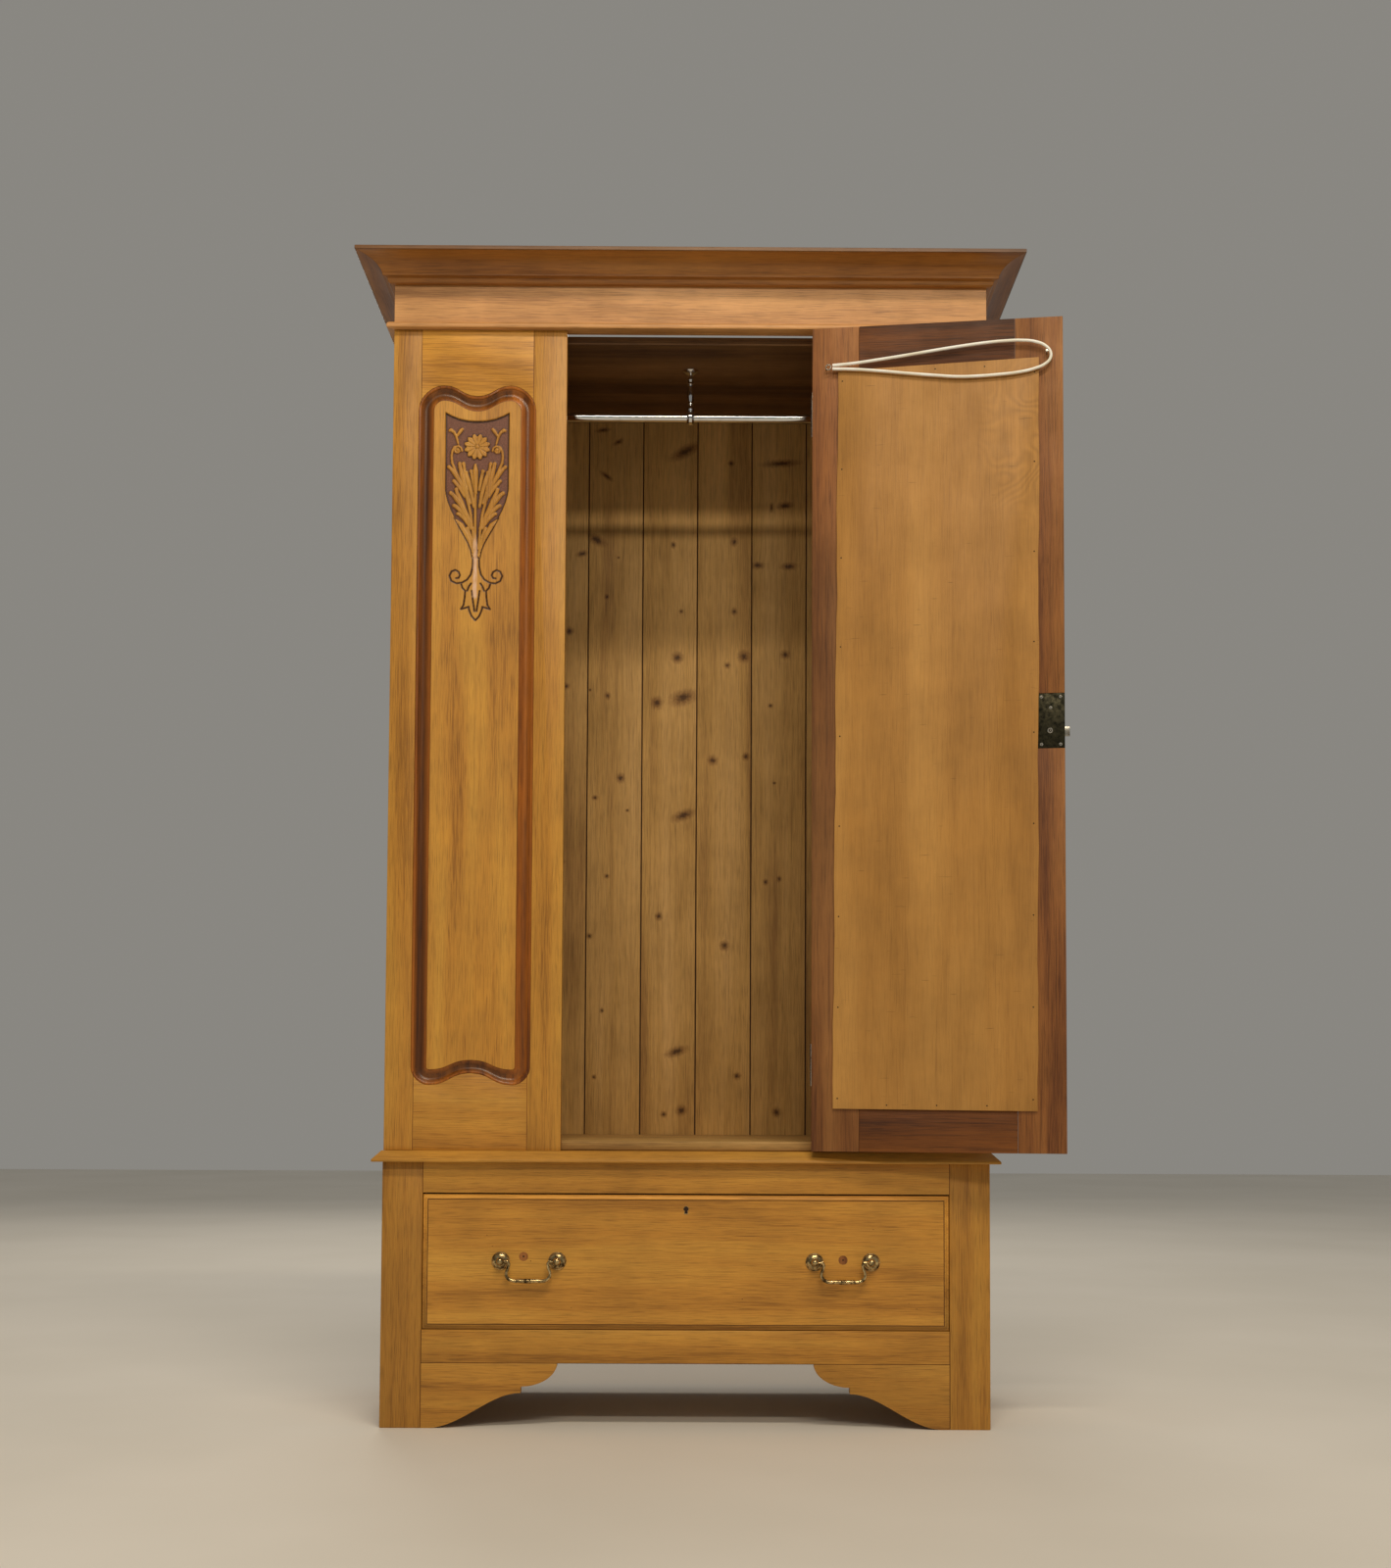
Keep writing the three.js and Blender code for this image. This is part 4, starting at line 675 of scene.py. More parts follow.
LEFT_STROKES = [
    [(-32.4, 1659.7, 1.7), (-34.4, 1667.2, 2.2), (-36.1, 1673.7, 2.5)],
    [(-36.1, 1673.7, 2.5), (-39.8, 1680.1, 2.8), (-45, 1684, 3.3), (-47, 1683, 2.6)],
    [(-35.6, 1672.5, 2.2), (-31.2, 1678.9, 2.8), (-28, 1683.5, 3.3), (-26, 1685.5, 2.6)],
    [(-30, 1647.4, 1.7), (-32.7, 1644.5, 1.7), (-37.2, 1645.7, 2), (-38.9, 1649.7, 2), (-36.8,
     1654.4, 2), (-32.3, 1656.2, 2), (-27.8, 1653.2, 2), (-26.1, 1648, 2)],
    [(-32.3, 1655.9, 2), (-39, 1654.4, 2.2), (-42.3, 1648, 2.2), (-43.8, 1638.7, 2.2), (-42.6,
     1627, 2.5), (-37.4, 1613.9, 2.8), (-30, 1599.3, 2.8), (-22, 1580.3, 2.8), (-15.1, 1559.9,
     2.8), (-9.8, 1536.6, 2.8), (-6.1, 1507.4, 2.5), (-3.6, 1478.3, 2.2)],
    [(-16.3, 1568.7, 2.8), (-25.4, 1588.5, 3.9), (-36.8, 1607.7, 4.2), (-45.3, 1617.7, 2.8),
     (-50.9, 1622.3, 1.1)],
    [(-20.5, 1568.7, 2.5), (-28.7, 1583.3, 3.6), (-37.2, 1593.5, 3.1), (-41.2, 1597.8, 1.4)],
    [(-11.1, 1557, 2.5), (-18.6, 1580.3, 3.9), (-25.6, 1605.1, 4.2), (-29.1, 1621.2, 3.3), (-30.4,
     1630.5, 1.4)],
    [(-16.4, 1580.3, 2.5), (-20, 1603.7, 3.1), (-22.4, 1621.2, 2.5), (-24.2, 1629.9, 1.1)],
    [(-6.2, 1513.3, 2.5), (-17, 1536.6, 4.2), (-29.6, 1558.5, 4.7), (-40.9, 1572.2, 3.3), (-48.5,
     1577.4, 1.4)],
    [(-15.9, 1536.6, 2.8), (-26.8, 1559.9, 3.9), (-34.2, 1576.8, 3.3), (-36, 1585.6, 1.7)],
    [(-11.3, 1522, 2.5), (-23.2, 1540.1, 3.9), (-35.1, 1551.2, 3.6), (-42.4, 1554.7, 1.4)],
    [(-9.5, 1513.3, 2.5), (-19.2, 1529, 3.6), (-28.8, 1537.8, 3.1), (-34.9, 1540.1, 1.4)],
    [(-4.9, 1551.2, 2.5), (-9.1, 1574.5, 3.6), (-14.3, 1594.9, 3.9), (-17.8, 1607.2, 2.8), (-19.6,
     1613.6, 1.4)],
    [(-4.1, 1580.3, 2.2), (-7.1, 1597.8, 3.1), (-9.5, 1609.5, 2.5), (-10.7, 1615.3, 1.1)],
    [(-34.8, 1526.7, 2.8), (-27.4, 1518.5, 5.6), (-17.8, 1501.6, 6.1), (-10.3, 1481.2, 4.5), (-6.2,
     1463.7, 2.2)],
    [(-15.7, 1513.3, 3.3), (-9.3, 1492.9, 4.5), (-5.7, 1472.4, 2.8), (-3.9, 1460.8, 1.7)],
]
MIDDLE_STROKES = [
    [(-2, 1460.8, 2), (-2.4, 1522, 2.2), (-2.7, 1580.3, 2.5), (-2.5, 1609.5, 2.5)],
    [(-2.1, 1574.5, 3.3), (-2.4, 1597.8, 4.7), (-2.8, 1613.9, 4.7), (-2.9, 1624.1, 2)],
]
LEFT_GROOVES = [
    [(-37.2, 1531), (-28.8, 1514.7), (-20.5, 1500.1), (-13.4, 1487), (-8.8, 1475.4), (-6.2, 1462)],
    [(-33.7, 1427), (-29.2, 1427.5), (-27, 1432.2), (-29.3, 1438), (-35, 1441.2), (-41.4, 1438.6),
     (-44.9, 1431), (-41.5, 1422.3), (-33, 1418.2), (-23.6, 1419.4), (-14.7, 1424.6), (-8.6,
     1433.4), (-5.7, 1446.2), (-5.1, 1462.2)],
    [(-24.6, 1416.5), (-22.3, 1410), (-17.8, 1405.4), (-18.5, 1393.7), (-20.3, 1380.9), (-24.7,
     1373.9), (-16.9, 1376.2), (-11.4, 1378)],
    [(-11.6, 1376.2), (-9.6, 1369.2), (-6.2, 1361.6), (-0.5, 1355.2)],
    [(-14.5, 1405.4), (-11.2, 1413.5), (-7.9, 1418.2)],
    [(-6.7, 1405.4), (-4.8, 1390.8), (-1.8, 1370.4)],
]
SHIELD_TOP = [(0, 1699.3), (14.9, 1700.2), (28.9, 1702.8), (42.9, 1708.1), (55, 1714.6)]
SHIELD_SIDE = [(1460.8, 5.6), (1475.4, 8), (1487, 12.6), (1500.1, 19.7), (1514.7, 28), (1529.3, 36.5),
               (1543.9, 43.9), (1558.5, 49.7), (1570.1, 52.9), (1580.3, 54.6), (1715, 55)]
ROSETTE = (0, 1654.7)
VOLUTE = (-33.4, 1649.7)


def reach_to(u, z, line):
    """Distance from each point to a line of (u, z, radius) knots, and the radius there."""
    nearest = np.full(u.shape, 1e6)
    radius = np.ones(u.shape)
    for (u0, z0, r0), (u1, z1, r1) in zip(line, line[1:]):
        du, dz = u1 - u0, z1 - z0
        share = np.clip(((u - u0) * du + (z - z0) * dz) / (du * du + dz * dz), 0, 1)
        gap = np.hypot(u - u0 - share * du, z - z0 - share * dz)
        closer = gap < nearest
        nearest = np.where(closer, gap, nearest)
        radius = np.where(closer, r0 + share * (r1 - r0), radius)
    return nearest, radius


def carve(u, z):
    """Height of the carving over the panel's face in mm, how much of each place is stained, and how much
    painted shade lies along each cut groove.
    """
    side = np.interp(z, *zip(*SHIELD_SIDE))
    head = np.interp(np.abs(u), *zip(*SHIELD_TOP))
    within = np.minimum(np.minimum(side - np.abs(u), head - z), z - 1460.8)
    height = -GROUND_DEEP * np.clip(within / 0.9, 0, 1)
    folded = -np.abs(u)
    ridges = np.full(u.shape, -9.0)
    for number, line in enumerate(LEFT_STROKES):
        # Leaves end in full round lobes, and the tendrils stay slim until they flare.
        full = list(line)
        if number > 4:
            (x0, z0, r0), (x1, z1, _) = line[-2:]
            full = [(a, b, max(c * 1.1, 2.7)) for a, b, c in line[:-1]]
            full.append(((x0 + x1) / 2, (z0 + z1) / 2, max(r0, 3.5)))
        gap, radius = reach_to(folded, z, full)
        crown = 0.9 + 0.42 * radius
        swell = crown * np.clip(1 - (gap / radius) ** 2, 0, 1) ** 0.8
        vein = np.where(radius > 2.9, 0.75 * np.exp(-(gap / 0.7) ** 2), 0)
        ridges = np.maximum(ridges, np.where(gap < radius, swell - vein - GROUND_DEEP, -9))
    for line in MIDDLE_STROKES:
        gap, radius = reach_to(u + 2.4, z, [(a + 2.4, b, c) for a, b, c in line])
        swell = (1.3 + 0.4 * radius) * np.sqrt(np.clip(1 - (gap / radius) ** 2, 0, 1))
        ridges = np.maximum(ridges, np.where(gap < radius, swell - GROUND_DEEP, -9))

    # A flower of twelve petals round a boss, each petal dished along its middle.
    out = np.hypot(u - ROSETTE[0], z - ROSETTE[1])
    angle = np.arctan2(z - ROSETTE[1], u - ROSETTE[0])
    aside = np.abs((angle / (math.tau / 12)) % 1 - 0.5) * math.tau / 12 * out
    tip = 22.5
    room = np.clip(np.minimum(0.262 * out, 4.6 * np.sqrt(np.clip((tip - out) / 5, 0, 1))), 0.01, None)
    petal = 0.9 + 2 * np.sqrt(np.clip(1 - (aside / room) ** 2, 0, 1)) - 0.7 * np.exp(-(aside / 1.1) ** 2)
    on_petal = (out > 4.2) & (out < tip) & (aside < room)
    ridges = np.maximum(ridges, np.where(on_petal, petal - GROUND_DEEP, -9))
    boss = 3.0 * np.sqrt(np.clip(1 - (out / 4.2) ** 2, 0, 1))
    ridges = np.maximum(ridges, np.where(out < 4.2, boss - GROUND_DEEP, -9))
    curl = np.hypot(folded - VOLUTE[0], z - VOLUTE[1])
    eye = 2.7 * np.sqrt(np.clip(1 - (curl / 3.6) ** 2, 0, 1))
    ridges = np.maximum(ridges, np.where(curl < 3.6, eye - GROUND_DEEP, -9))

    carved = np.where(within > 0, np.minimum(np.maximum(height, ridges), -0.05), 0)
    stained = np.clip((within - 0.5) / 0.6, 0, 1) * np.clip((-GROUND_DEEP + 0.75 - carved) / 0.4, 0, 1)
    cut = np.zeros(u.shape)
    for line in LEFT_GROOVES:
        gap, _ = reach_to(folded, z, [(a, b, 1) for a, b in line])
        carved = np.minimum(carved, np.where(within > 0, carved, -1.5 * np.clip(1 - gap / 1.5, 0, 1)))
        cut = np.maximum(cut, np.where(within > 0, 0, np.clip(1.6 - gap / 1.5, 0, 1)))
    return carved, stained, cut


def carved_field(middle):
    """The raised field of a flank's panel, carved above and plain below."""
    columns, rows = 165, 392
    half = FLANK[0] - FIELD_INSIDE
    edge = serpentine(*FLANK, FIELD_INSIDE)
    heads = sorted((x, z) for x, z in edge if z > 1200)
    feet = sorted((x, z) for x, z in edge if z < 1200)
    shape = bmesh.new()
    bmesh.ops.create_grid(shape, x_segments=columns, y_segments=rows, size=0.5)
    s = np.array([point.co.x + 0.5 for point in shape.verts])
    t = np.array([point.co.y + 0.5 for point in shape.verts])
    u = (s - 0.5) * 2 * half
    head = np.interp(u, *zip(*heads))
    foot = np.interp(u, *zip(*feet))
    # The plain part takes four rows, and the carved part all the rest.
    plain = 4 / rows
    start_at = 1350
    z = np.where(t <= plain, foot + (start_at - foot) * t / plain,
                 start_at + (head - start_at) * (t - plain) / (1 - plain))
    height, stained, cut = carve(u, z)
    # Painted shade lies dark in every hollow, which is wherever the wood is lower than the mean of
    # what stands within 4 mm of it, and in the cut grooves.
    tall = height.reshape(rows + 1, columns + 1)
    mean = sum(np.roll(tall, (down, over), (0, 1)) for down in range(-4, 5) for over in range(-4, 5)) / 81
    hollow = np.where(z > start_at + 8, (mean - tall).ravel(), 0)
    wear_and_shade = np.clip(cut + np.clip(hollow - 0.12, 0, 1) * 1.15, 0, 1)
    ground = shape.verts.layers.float.new("ground")
    crease = shape.verts.layers.float.new("crease")
    stem_highlight = shape.verts.layers.float.new("stem_highlight")
    # A painted highlight runs down the middle of the stem.
    stem = np.clip(1.3 - np.abs(u + 1.5) / 5.5, 0, 1) * np.clip((z - 1384) / 12, 0, 1)
    stem *= np.clip((1530 - z) / 50, 0, 1)
    for point, across, up, high, stain, dark, pale in zip(shape.verts, u, z, height, stained, wear_and_shade, stem):
        point.co = (middle + across, FIELD_FRONT - high, up)
        point[ground] = stain
        point[crease] = dark
        point[stem_highlight] = pale
    rim = [item for item in shape.edges if len(item.link_faces) == 1]
    skirt = bmesh.ops.extrude_edge_only(shape, edges=rim)["geom"]
    for point in skirt:
        if isinstance(point, bmesh.types.BMVert):
            point.co.y = 9.2
            point[ground] = 0
    bmesh.ops.edgeloop_fill(shape, edges=[item for item in shape.edges if len(item.link_faces) == 1])
    bmesh.ops.recalc_face_normals(shape, faces=shape.faces)
    return shape


# ---- Small fittings --------------------------------------------------------------------------
def screws(name, places, stands_for=(), body="carcase", place=CARCASE, radius=3.2, turn=0.5,
           facing="Y", side=1, proud=0.3):
    """Countersunk iron screws with their slots. Side is which way along its axis a head looks, and
    proud is how far its middle stands up."""
    heads, slots = [], []
    for number, (x, y, z) in enumerate(places):
        head = turned([(0, -1.2), (radius * 0.6, -1.2), (radius, -0.1),
                       (radius * 0.97, proud * 0.4), (0, proud)], steps=20)
        slot = box(-radius * 0.86, radius * 0.86, -0.32, 0.32, proud * 0.3, proud + 0.03)
        for part in (head, slot):
            bmesh.ops.rotate(part, matrix=Matrix.Rotation(turn + number * 1.1, 3, "Z"), verts=part.verts)
            if facing == "Y":
                quarter = Matrix.Rotation(-side * math.pi / 2, 3, "X")
            else:
                quarter = Matrix.Rotation(side * math.pi / 2, 3, "Y")
            bmesh.ops.rotate(part, matrix=quarter, verts=part.verts)
            moved(part, x, y, z)
        heads.append(head)
        slots.append(slot)
    fit(name, together(*heads), "steel", body, stands_for, place=place)
    # The slots are dark plates of painted shade.
    fit(name + "_slots", together(*slots), "hole_dirt_and_shade", body, place=place)


def pinholes(name, places, y, body="carcase", place=CARCASE):
    """Furniture beetle's flight holes, a millimetre and a half across and shown as dark pits of painted
    shade.
    """
    pits = [moved(turned([(0, -0.05), (radius, -0.05), (radius, 0.02), (0, 0.04)], "Y", 12), x, y, z)
            for x, z, radius in places]
    fit(name, together(*pits), "hole_dirt_and_shade", body, place=place)


# ---- Base ------------------------------------------------------------------------------------
def bracket():
    """Shaped bracket foot, from its stile on the left to its tip."""
    top, tip = 107, 226
    shoulder, ledge, step = tip - 60, top - 49, 10.5
    edge = [(0.25, 0), (14, 0)]
    edge += bezier(edge[-1], (69, 2), (114, ledge), (shoulder, ledge), 24)
    edge.append((shoulder, ledge + step))
    edge += bezier(edge[-1], (tip - 27, ledge + step), (tip, ledge + step + 18), (tip, top), 16)
    edge.append((0.25, top))
    return moved(plate(edge, BASE_FRONT, BASE_FRONT + FRAME_T, 0.7), x=-439)


def make_base():
    lines = [box(side * 439 - 0.5, side * 439 + 0.5, BASE_FRONT - 0.06, BASE_FRONT + 0.2, low, high)
             for side in (-1, 1) for low, high in ((2, 161.5), (388.4, 439))]
    lines.append(box(-438.8, 438.8, BASE_FRONT - 0.06, BASE_FRONT + 0.2, 106.8, 107.6))
    fit("base_joint_lines", together(*lines), "dark_walnut", tone=0)
    for side, tone in (("left", 0.16), ("right", 0.26)):
        fit(f"base_stile_{side}_board", ease(solid(f"base_stile_{side}"), 1.2), "satin_walnut",
            stands_for=f"base_stile_{side}", tone=tone)
        fit(f"base_side_{side}_panel", ease(solid(f"base_side_{side}")), "satin_walnut",
            stands_for=f"base_side_{side}", tone=0.42)
        fit(f"runner_{side}", ease(solid(f"drawer_runner_{side}")), "pine",
            stands_for=f"drawer_runner_{side}", grain="y", tone=0.4)
    fit("base_top_rail_board", ease(solid("base_top_rail")), "satin_walnut", stands_for="base_top_rail",
        grain="x", tone=0.42)
    fit("base_bottom_rail_board", ease(solid("base_bottom_rail")), "satin_walnut",
        stands_for="base_bottom_rail", grain="x", tone=0.4)
    fit("bracket_left", bracket(), "satin_walnut", stands_for="bracket_foot_left", grain="x", tone=0.34)
    fit("bracket_right", mirrored(bracket()), "satin_walnut", stands_for="bracket_foot_right",
        grain="x", tone=0.2)
    fit("base_back_board", ease(solid("base_back")), "pine", stands_for="base_back", grain="x", tone=0.4)
    fit("waist_board", ease(solid("base_top"), 0.9, 20), "satin_walnut", stands_for="base_top", grain="x",
        tone=0.4)


# ---- Drawer ----------------------------------------------------------------------------------
def drawer_face():
    """The moulded face of the drawer front: a rounded edge, a quirk and the flat."""
    x, low, high = 438, 162.75, 385.6
    section = [(0, -3), (0, -4.2), (0.7, -4.9), (2.2, -5.1), (3.4, -5.6), (4.6, -6.6), (5.4, -7.5),
               (6.2, -7.9), (7.4, -8), (7.8, -7.3), (8.5, -7.2), (8.9, -8)]
    loops = [[(-x + inset, y, low + inset), (x - inset, y, low + inset),
              (x - inset, y, high - inset), (-x + inset, y, high - inset)] for inset, y in section]
    def backed(few):
        return [[(across, -2, up) for across, _, up in loop] for loop in (few[0], few[-1])]
    bead, quirk, flat = loops[1:9], loops[8:12], loops[11:]
    return (loops_bridged(bead + [backed(bead)[1], backed(bead)[0]], closed=True),
            loops_bridged(quirk + [backed(quirk)[1], backed(quirk)[0]], closed=True),
            loops_bridged([backed(flat)[0]] + flat))


def handle_post(side):
    """Rose, neck and knob. The knob is bored on its inner side, which side (+1 or -1) points to."""
    rose = turned([(0, 0.25), (15, 0.25), (15, 1.1), (14.6, 1.6), (13.6, 1.9), (13.4, 2.6), (12.6, 3.8),
                   (10.8, 5.2), (8.2, 6.2), (6, 6.7), (5.6, 7.2), (4.2, 7.5), (3.7, 8.4), (3.9, 9.6),
                   (0, 10)], steps=48)
    bmesh.ops.rotate(rose, matrix=Matrix.Rotation(math.pi / 2, 3, "X"), verts=rose.verts)
    ball = [(6.5 * math.sin(angle), -6.5 * math.cos(angle))
            for angle in np.linspace(0, math.radians(163), 16)]
    ball[0] = (0, -6.5)
    knob = turned(ball + [(1.9, ball[-1][1]), (1.9, -3), (0, -3)], "X", 32)
    if side < 0:
        bmesh.ops.rotate(knob, matrix=Matrix.Rotation(math.pi, 3, "Z"), verts=knob.verts)
    return together(rose, moved(knob, y=-14))


def swan_neck_bail():
    """A cast bail that swells to the middle of its grip and thins at its necks."""
    right = [(35, 0), (32.5, -3), (33.2, -10), (36.2, -18.5), (34.6, -26), (26, -31.4), (15, -31.8)]
    thick = [2.7, 2.5, 2.5, 2.7, 3.0, 3.3, 3.5]
    route = [(x, 0, z) for x, z in right] + [(0, 0, -32)] + [(-x, 0, z) for x, z in reversed(right)]
    bar = rod(route, thick + [4] + thick[::-1], 6)
    collar = [(0, 33), (2.9, 34), (2.9, 37.5), (1.6, 38), (1.6, 46), (0, 46)]
    pin = turned(collar, "X", 24)
    ring = turned([(0, -4.2), (3.8, -4.1), (4.5, -3.2), (3.9, -2.3), (3.9, 2.3), (4.5, 3.2), (3.8, 4.1),
                   (0, 4.2)], "X", 24)
    return together(bar, pin, mirrored(turned(collar, "X", 24)), moved(ring, z=-32))


def make_drawer():
    behind = solid("drawer_front")
    whole = behind.verts[:] + behind.edges[:] + behind.faces[:]
    bmesh.ops.bisect_plane(behind, geom=whole, plane_co=(0, -2, 0), plane_no=(0, -1, 0), clear_outer=True)
    bmesh.ops.holes_fill(behind, edges=behind.edges)
    bead, quirk, flat = drawer_face()
    fit("drawer_front_board", together(behind, flat), "satin_walnut", "drawer", "drawer_front",
        grain="x", tone=0.5)
    # The top edge is painted paler than the other three, a painted highlight where the light falls on it.
    fit("drawer_edge_bead", bead, "satin_walnut", "drawer", "drawer_front", grain="x",
        tone=lambda at: 1.0 if at.z > 376 else 0.0)
    # The quirk is painted dark, as painted shade.
    fit("drawer_edge_quirk", quirk, "redder_shaded_walnut", "drawer", "drawer_front", grain="x", tone=0)
    fit("drawer_shadow_gap", box(-438, 438, -2.3, -1.9, 385.7, 387.2), "hole_dirt_and_shade", "drawer")
    def keyhole(round_it, half_slot, foot):
        bow = [(round_it * math.cos(angle), 363 + round_it * math.sin(angle))
               for angle in np.linspace(-0.9, math.pi + 0.9, 20)]
        return [(half_slot, foot)] + bow + [(-half_slot, foot)]
    fit("drawer_escutcheon", sawn(keyhole(4.5, 3.4, 354), -8.12, -7.9), "antique_brass", "drawer")
    # The keyhole is a dark plate of painted shade.
    fit("drawer_keyhole", sawn(keyhole(3.7, 2.4, 354.9), -8.2, -7.9), "hole_dirt_and_shade", "drawer")
    for side, tone in (("left", 0.5), ("right", 0.44)):
        fit(f"drawer_{side}_side", ease(solid(f"drawer_side_{side}")), "pine", "drawer",
            f"drawer_side_{side}", grain="y", tone=tone)
    fit("drawer_back_board", ease(solid("drawer_back")), "pine", "drawer", "drawer_back", grain="x",
        tone=0.4)
    fit("drawer_bottom_board", ease(solid("drawer_bottom")), "pine", "drawer", "drawer_bottom",
        grain="x", tone=0.55)
    fit("drawer_lock_case", ease(solid("drawer_lock"), 0.4), "lock_bronze", "drawer", "drawer_lock")
    fit("drawer_lock_tongue", ease(solid("drawer_lock_bolt"), 0.3), "antique_brass", "drawer_bolt",
        "drawer_lock_bolt")
    screws("drawer_lock_screws", [(x, 14.1, z) for x in (-26, 26) for z in (350, 381)], body="drawer")

    # Turned plugs fill the holes of an older pair of knobs.
    plugs = []
    for x, z in ((-270, 283), (261.5, 279)):
        plug = turned([(0, -0.1), (7.6, -0.1), (7.6, 0.1), (6.9, 0.22), (6.2, 0.04), (3.6, 0.06),
                       (3, 0.2), (2.2, 0.02), (0, 0.08)], "Y", 32)
        bmesh.ops.rotate(plug, matrix=Matrix.Rotation(math.pi, 3, "Z"), verts=plug.verts)
        plugs.append(moved(plug, x, -8, z))
    fit("filled_holes", together(*plugs), "door_walnut", "drawer", tone=0.95)
    holes = [(-270, 283, 1.5), (261.5, 279, 1.4), (-258, 275.5, 0.8), (-331, 318, 0.7), (-322, 300, 0.6),
             (94, 214, 0.7), (312, 330, 0.7), (384, 199, 0.6), (371, 208, 0.6), (-190, 199, 0.6)]
    pinholes("drawer_pinholes", holes, -8.15, "drawer")

    for which, x in (("left", -261), ("right", 261)):
        for hand, offset, side in (("left", -47, 1), ("right", 47, -1)):
            fit(f"handle_{which}_{hand}_post", moved(handle_post(side), x + offset, BASE_FRONT, 275.75),
                "antique_brass", "drawer", f"handle_{which}_post_{hand}")
        fit(f"handle_{which}_swan_neck", moved(swan_neck_bail(), x, -22, 275.75), "antique_brass",
            f"bail_{which}", f"handle_{which}_bail", crease=60)


# ---- Upper carcase ---------------------------------------------------------------------------
def clipped(shape, cuts):
    """A shape cut back by planes of (point, the way that is thrown away)."""
    for point, away in cuts:
        whole = shape.verts[:] + shape.edges[:] + shape.faces[:]
        bmesh.ops.bisect_plane(shape, geom=whole, dist=0.001, plane_co=point, plane_no=away,
                               clear_outer=True)
        bmesh.ops.holes_fill(shape, edges=[edge for edge in shape.edges if edge.is_boundary])
    bmesh.ops.recalc_face_normals(shape, faces=shape.faces)
    return shape


def make_flank(which, side, tones):
    """A flank is four boards, jointed at the corners, with a moulding and a carved panel."""
    frame_node = f"flank_{which}_frame"
    outer, inner = side * 458.5, side * 267.5
    boards = {
        "outer_stile": [((outer, 0, 0), (-side, 0, 0))],
        "inner_stile": [((inner, 0, 0), (side, 0, 0))],
        "top_rail": [((outer, 0, 0), (side, 0, 0)), ((inner, 0, 0), (-side, 0, 0)),
                     ((0, 0, 1100), (0, 0, -1))],
        "foot_rail": [((outer, 0, 0), (side, 0, 0)), ((inner, 0, 0), (-side, 0, 0)),
                      ((0, 0, 1100), (0, 0, 1))],
    }
    for board, cuts in boards.items():
        fit(f"flank_{which}_{board}", ease(clipped(solid(frame_node), cuts), 0.6), "satin_walnut",
            stands_for=frame_node, grain="x" if "rail" in board else "z", tone=tones[board])
    # Old polish lies dark along the joints.
    lines = [box(at - 0.45, at + 0.45, -0.06, 0.2, low, high) for at in (outer, inner)
             for low, high in ((458.6, 590), (1726, 1856.4))]
    fit(f"flank_{which}_joint_lines", together(*lines), "dark_walnut", stands_for=frame_node, tone=0.6)
    middle = side * FLANK_MIDDLE
    section = [(0.3, 8.7), (0.3, 1.6), (1, 1), (3.2, 1), (4.6, 1.8), (5.2, 3.4), (6.4, 4.2), (8.5, 6.2),
               (11.5, 7.6), (14.5, 7.7), (17.5, 6.6), (20.5, 4.6), (23, 3.2), (24.6, 2.6), (25, 2),
               (25.75, 1.9), (25.75, 8.7)]
    # Painted shade and light: the moulding is painted darker the deeper it lies, so its hollow is dark and
    # its two high members pale, and its right limb is painted paler still.
    fit(f"flank_{which}_bolection", moulding(FLANK, section, middle), "mahogany",
        stands_for=f"flank_{which}_moulding",
        tone=lambda at: 0.92 - 0.11 * max(0, at.y - 1) + (0.55 if at.x > middle + 60 else 0))
    fit(f"flank_{which}_field", carved_field(middle), "carved_walnut",
        stands_for=f"flank_{which}_panel", tone=0.52, crease=75)
    fit(f"flank_{which}_margin", moved(plate(serpentine(*FLANK, 0.3), 9, 17), x=middle), "satin_walnut",
        stands_for=f"flank_{which}_panel", tone=0.4)


def make_back():
    """Ten tongued and grooved boards, each with its own knots."""
    joints = [-488.25] + [13.7 + BOARD_COVER * step for step in range(-4, 5)] + [488.25]
    tones = (0.45, 0.5, 0.42, 0.4, 0.56, 0.6, 0.46, 0.36, 0.44, 0.5)
    for number, (left, right) in enumerate(zip(joints, joints[1:])):
        knots = [knot for knot in KNOTS if left + 2 < knot[0] < right - 2]
        finish = f"pine_{number + 1}"
        FINISHES[finish] = pine(finish, knots)
        SLOTS[finish] = "pine"
        board = box(left + 0.9, right - 0.9, BOARD_FACE, DEPTH, UPPER_FOOT, UPPER_HEAD)
        front = [edge for edge in board.edges
                 if all(abs(end.co.y - BOARD_FACE) < 0.1 for end in edge.verts)]
        bmesh.ops.bevel(board, geom=front, offset=2.0, offset_type="OFFSET", affect="EDGES", segments=2,
                        profile=0.5, material=-1)
        # Painted light: the upper ends are painted a shade paler, to lift the shadow under the top.
        fit(f"back_board_{number + 1}", ringed(board, (1610, 1690)), finish, stands_for="back_boarding",
            tone=lambda at, plain=tones[number]: plain + (0.5 if at.z > 1680 else 0))
    # The tongues show dark in the joints, as painted shade.
    tongues = [box(joint - 0.9, joint + 0.9, 443, 449, UPPER_FOOT, UPPER_HEAD) for joint in joints[1:-1]]
    fit("back_board_tongues", together(*tongues), "hole_dirt_and_shade", stands_for="back_boarding")


